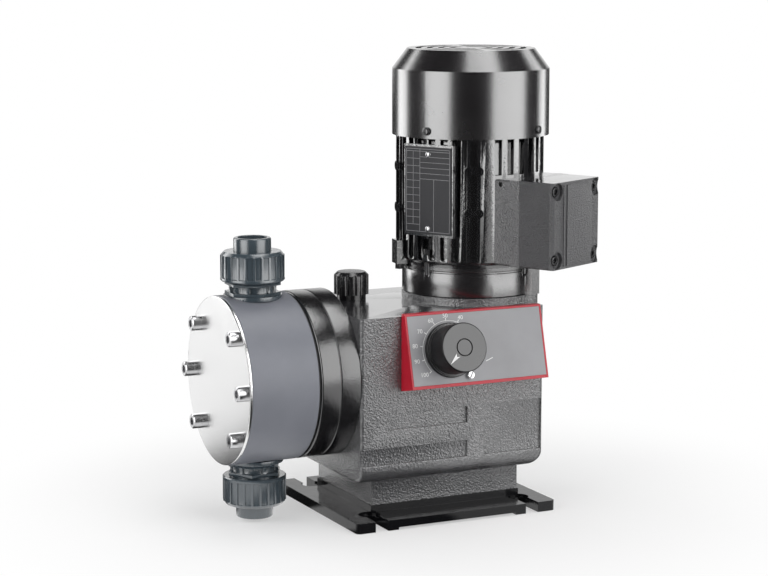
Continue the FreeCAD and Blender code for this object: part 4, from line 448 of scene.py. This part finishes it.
def number_outlines(text, size, centre):
    """Flat faces of a number's letters round a centre, each as a run of corners."""
    curve = bpy.data.curves.new(text, "FONT")
    curve.body, curve.size = text, size
    curve.align_x, curve.align_y = "CENTER", "CENTER"
    holder = bpy.data.objects.new(text, curve)
    mesh = bpy.data.meshes.new_from_object(holder)
    flat = corner_points(mesh)[:, :2] + centre
    faces = [flat[list(face.vertices)] for face in mesh.polygons]
    bpy.data.objects.remove(holder)
    bpy.data.meshes.remove(mesh)
    return faces


dial_front = foremost(world_points("dial_plate"), KNOB_FOOT, PANEL_OUT)
dial_angles = {percent: FULL_STROKE_ANGLE - DEGREES_PER_PERCENT * (100 - percent)
               for percent in range(0, 101, 10)}
scale = [bar(*(around(angle, radius) for radius in TICK_RADII), TICK_WIDTH)
         for angle in dial_angles.values()]
arc = [around(angle, ARC_RADIUS)
       for angle in np.linspace(dial_angles[100], dial_angles[0], ARC_POINTS)]
scale += [bar(start, end, ARC_WIDTH) for start, end in zip(arc, arc[1:])]
scale.append(bar(*MARK, TICK_WIDTH))
printed("dial_scale", scale, dial_front, PANEL_RIGHT, PANEL_UP, "pump", print_white)

numbers = []
for percent, angle in dial_angles.items():
    if percent >= FIRST_NUMBER:
        shift = (WIDE_NUMBER_SHIFT if percent == 100 else 0.0, 0.0)
        numbers += number_outlines(str(percent), NUMBER_SIZE,
                                   around(angle, 1.0) * NUMBER_RADII - shift)
printed("dial_numbers", numbers, dial_front, PANEL_RIGHT, PANEL_UP, "pump", print_white)

# Adjuster: knob turned from black plastic, with a smoother face and a cap pressed over its
# screw; the face is also given a lighter black than the sides, as a painted sheen. It is set by
# hand, and the white arrow printed on its face points at the scale.
ARROW_ANGLE = -138.0
ARROW_TIP, ARROW_BARBS, ARROW_NOTCH, ARROW_HALF = 0.0198, 0.0092, 0.0112, 0.0021

knob_side = coated("knob_side", ((0.005, 0.005, 0.006), (0.008, 0.008, 0.009)), (0.42, 0.50),
                   grain=(1.5, 0.08), peel=(0.5, 0.08), specular=0.3)
# Painted sheen: the outward faces get a lighter black than the sides, beside their real smoother
# finish.
knob_face_painted_sheen = coated("knob_face_painted_sheen", ((0.022, 0.022, 0.023), (0.028, 0.028, 0.029)), (0.26, 0.32),
                   grain=(1.0, 0.06), peel=(0.4, 0.10), specular=1.0)
for node in ("adjuster_knob", "knob_cap"):
    face_off(dress(node, knob_side, edge=0.0002), knob_face_painted_sheen, PANEL_OUT)
arrow_way = around(ARROW_ANGLE, 1.0)
arrow_side = around(ARROW_ANGLE + 90.0, 1.0)
arrow = [arrow_way * ARROW_TIP, arrow_way * ARROW_BARBS + arrow_side * ARROW_HALF,
         arrow_way * ARROW_NOTCH, arrow_way * ARROW_BARBS - arrow_side * ARROW_HALF]
printed("knob_arrow", [arrow], foremost(world_points("adjuster_knob"), KNOB_FOOT, PANEL_OUT),
        PANEL_RIGHT, PANEL_UP, "knob", print_white)

# Pump head and valves: head turned from grey PVC, valve bodies, pipe sockets and union nuts
# from dark PVC, all left as machined. The nuts are screwed on by hand over the sockets.
grey_pvc = coated("grey_pvc", ((0.178, 0.186, 0.214), (0.200, 0.208, 0.238)), (0.38, 0.46),
                  grain=(1.0, 0.05), peel=(0.5, 0.08))
dark_pvc = coated("dark_pvc", ((0.046, 0.062, 0.075), (0.056, 0.074, 0.088)), (0.16, 0.24),
                  grain=(1.0, 0.06), peel=(0.5, 0.06), specular=1.0, coat=(0.6, 1.6, 0.08))
dress("pump_head", grey_pvc, edge=0.0006)
for side in ("suction", "discharge"):
    dress(f"{side}_valve_body", dark_pvc, edge=0.0002, merge=False)
    dress(f"{side}_tailpiece", dark_pvc)
    dress(f"{side}_union_nut", dark_pvc)

# Cover plate: disc of stainless steel, cut from sheet and finely brushed. The six head
# screws press it on the plastic head, so that the head seals evenly.
brushed_steel = coated("brushed_steel", ((0.84, 0.84, 0.84), (0.89, 0.89, 0.89)), (0.20, 0.26),
                       grain=(0.8, 0.02), peel=(0.4, 0.02), metallic=1.0)
dress("cover_plate", brushed_steel, edge=0.0003)

# Screws and rivets: bright stainless steel on the pump and inside the motor, and blackened
# steel on the motor's outside and the terminal box. All are cold-formed.
screw_steel = coated("screw_steel", ((0.60, 0.60, 0.61), (0.70, 0.70, 0.71)), (0.20, 0.30),
                     grain=(0.6, 0.05), peel=(0.3, 0.05), metallic=1.0)
black_steel = coated("black_steel", ((0.010, 0.010, 0.011), (0.016, 0.016, 0.018)), (0.2, 0.3),
                     grain=(0.8, 0.08), peel=(0.4, 0.05), specular=1.0, coat=(0.5, 1.7, 0.1))
for node in ("head_screws", "lock_screw", "nameplate_rivets", "bearing_cover_screws",
             "base_screws", "motor_screws"):
    dress(node, screw_steel, edge=0.0002)
for node in ("shield_screws", "earth_screw", "fan_cover_screws", "box_cover_screws"):
    dress(node, black_steel, edge=0.0002)

# Nameplate: dark anodised aluminium plate, held on the motor's fins by two rivets. A ruled
# table is printed on it in grey and left empty: five uprights, then the level lines, each
# as its place and its two ends from the plate's centre.
PLATE_ANGLE = -151.0
HALF_WIDTH, HALF_HEIGHT, RULE_WIDTH = 0.0225, 0.036, 0.0003
ROWS_LOW, ROWS_HIGH, FIELDS_LOW = -0.030, 0.034, 0.010
UNITS_X, FIELDS_X, LOWER_X = -0.0155, -0.0085, 0.006

plate_grey = coated("plate_grey", ((0.020, 0.020, 0.023), (0.026, 0.026, 0.029)), (0.30, 0.38),
                    grain=(0.8, 0.04), peel=(0.4, 0.04), metallic=0.3)
rule_grey = coated("rule_grey", ((0.26, 0.26, 0.27), (0.34, 0.34, 0.35)), (0.4, 0.5),
                   grain=(0.8, 0.05), peel=(0.5, 0.05))
dress("nameplate", plate_grey, edge=0.0001)
uprights = [(-HALF_WIDTH, -HALF_HEIGHT, HALF_HEIGHT), (HALF_WIDTH, -HALF_HEIGHT, HALF_HEIGHT),
            (FIELDS_X, -HALF_HEIGHT, HALF_HEIGHT), (UNITS_X, ROWS_LOW, ROWS_HIGH),
            (LOWER_X, -HALF_HEIGHT, FIELDS_LOW)]
levels = [(y, -HALF_WIDTH, FIELDS_X) for y in np.linspace(ROWS_LOW, ROWS_HIGH, 11)]
levels += [(y, FIELDS_X, HALF_WIDTH) for y in np.linspace(FIELDS_LOW, ROWS_HIGH, 6)]
levels += [(y, -HALF_WIDTH, HALF_WIDTH) for y in (-HALF_HEIGHT, HALF_HEIGHT)]
rules = [bar((x, low), (x, high), RULE_WIDTH) for x, low, high in uprights]
rules += [bar((low, y), (high, y), RULE_WIDTH) for y, low, high in levels]
plate_out = np.append(around(PLATE_ANGLE, 1.0), 0.0)
plate_points = world_points("nameplate")
plate_centre = (plate_points.max(axis=0) + plate_points.min(axis=0)) / 2
printed("nameplate_rules", rules, foremost(plate_points, plate_centre, plate_out),
        np.array((-plate_out[1], plate_out[0], 0.0)), np.array(UP), "pump", rule_grey)


# Worm gear: ground steel worm on the motor's shaft and a cast bronze wheel on the
# eccentric's shaft, both in oil. The bearings are bright rings pressed into their seats.
def wear(material, *nodes):
    """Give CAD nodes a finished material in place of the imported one."""
    for node in nodes:
        mesh = frame["nodes"][node].data
        mesh.materials.clear()
        mesh.materials.append(material)


ground_steel = coated("ground_steel", ((0.46, 0.46, 0.47), (0.56, 0.56, 0.57)), (0.22, 0.32),
                      grain=(0.8, 0.08), peel=(0.3, 0.10), metallic=1.0)
oiled_bronze = coated("oiled_bronze", ((0.45, 0.26, 0.09), (0.55, 0.33, 0.12)), (0.22, 0.34),
                      grain=(1.0, 0.20), peel=(0.5, 0.10), metallic=1.0)
bearing_steel = coated("bearing_steel", ((0.60, 0.60, 0.61), (0.72, 0.72, 0.73)), (0.14, 0.22),
                       grain=(0.8, 0.04), peel=(0.3, 0.05), metallic=1.0)
wear(ground_steel, "worm", "rotor_shaft", "eccentric_shaft", "eccentric_cams")
wear(oiled_bronze, "worm_wheel")
wear(bearing_steel, "shaft_bearings", "motor_bearings")

# Rod drive: machined cast crosshead, steel rod in a bronze bush, and a coiled return
# spring. The rubber diaphragm is clamped between ring and head and held by a steel disc.
cast_steel = coated("cast_steel", ((0.30, 0.30, 0.31), (0.40, 0.40, 0.41)), (0.34, 0.46),
                    grain=(1.2, 0.30), peel=(0.5, 0.15), metallic=1.0)
spring_steel = coated("spring_steel", ((0.22, 0.22, 0.24), (0.32, 0.32, 0.34)), (0.26, 0.36),
                      grain=(0.8, 0.08), peel=(0.3, 0.08), metallic=1.0)
black_rubber = coated("black_rubber", ((0.018, 0.018, 0.018), (0.028, 0.028, 0.028)),
                      (0.6, 0.7), grain=(0.8, 0.20), peel=(0.4, 0.10))
wear(cast_steel, "crosshead")
wear(ground_steel, "push_rod", "diaphragm_disc")
wear(spring_steel, "return_spring")
wear(oiled_bronze, "rod_bush")
wear(black_rubber, "diaphragm", "rod_seal")

# Adjuster's inside: turned steel spindle behind the knob, in a bronze bush. Its eccentric
# stop sets how far the spring can push the crosshead back.
wear(ground_steel, "adjuster_spindle")
wear(oiled_bronze, "adjuster_bush")


# Motor's inside: stacks of punched iron sheet with varnished copper windings, a moulded
# fan on the shaft's upper end and a moulded terminal block with brass studs in the box.
def new_stack_group():
    """Edge of a sheet stack: sine of the height over one sheet's thickness."""
    group = bpy.data.node_groups.new("sheet_stack", "ShaderNodeTree")
    group.interface.new_socket("Sheet", in_out="INPUT", socket_type="NodeSocketFloat")
    group.interface.new_socket("Height", in_out="OUTPUT", socket_type="NodeSocketFloat")
    nodes, links = group.nodes, group.links
    given, found = nodes.new("NodeGroupInput"), nodes.new("NodeGroupOutput")
    place, parts = nodes.new("ShaderNodeTexCoord"), nodes.new("ShaderNodeSeparateXYZ")
    links.new(place.outputs["Object"], parts.inputs["Vector"])
    turns, wave = nodes.new("ShaderNodeMath"), nodes.new("ShaderNodeMath")
    turns.operation, wave.operation = "DIVIDE", "SINE"
    links.new(parts.outputs["Z"], turns.inputs[0])
    links.new(given.outputs["Sheet"], turns.inputs[1])
    links.new(turns.outputs["Value"], wave.inputs[0])
    links.new(wave.outputs["Value"], found.inputs["Height"])
    return group


sheet_stack = new_stack_group()


def stacked(name, colors, gloss, sheet, **looks):
    """Coated look with the fine lines of stacked sheets or wound wire, in millimetres."""
    material = coated(name, colors, gloss, grain=(1.0, 0.1), peel=(0.4, 0.1), **looks)
    nodes, links = material.node_tree.nodes, material.node_tree.links
    stack, bump = nodes.new("ShaderNodeGroup"), nodes.new("ShaderNodeBump")
    stack.node_tree = sheet_stack
    stack.inputs["Sheet"].default_value = sheet / 1000 / (2 * math.pi)
    bump.inputs["Distance"].default_value = 0.0001
    links.new(stack.outputs["Height"], bump.inputs["Height"])
    links.new(bump.outputs["Normal"], nodes["Principled BSDF"].inputs["Normal"])
    return material


sheet_iron = stacked("sheet_iron", ((0.20, 0.20, 0.21), (0.30, 0.30, 0.31)), (0.34, 0.44), 1.0,
                     metallic=1.0)
varnished_copper = stacked("varnished_copper", ((0.38, 0.13, 0.05), (0.50, 0.20, 0.08)),
                           (0.22, 0.32), 0.9, coat=(0.6, 1.5, 0.12))
brown_moulding = coated("brown_moulding", ((0.12, 0.05, 0.02), (0.16, 0.07, 0.03)),
                        (0.35, 0.45), grain=(1.0, 0.1), peel=(0.5, 0.1))
wear(sheet_iron, "stator_core", "rotor_core")
wear(varnished_copper, "stator_windings")
wear(black_moulding, "cooling_fan")
wear(brown_moulding, "terminal_block")

# Valves' inside: seat rings turned from the same PVC as the bodies and sealed by rubber
# rings. The white ceramic balls are lifted by the liquid and closed by gravity.
white_ceramic = coated("white_ceramic", ((0.70, 0.69, 0.66), (0.78, 0.77, 0.74)), (0.08, 0.14),
                       grain=(2.0, 0.02), peel=(0.5, 0.02), coat=(0.5, 1.5, 0.05))
wear(dark_pvc, "valve_seats")
wear(black_rubber, "valve_o_rings")
wear(white_ceramic, "suction_ball", "discharge_ball")
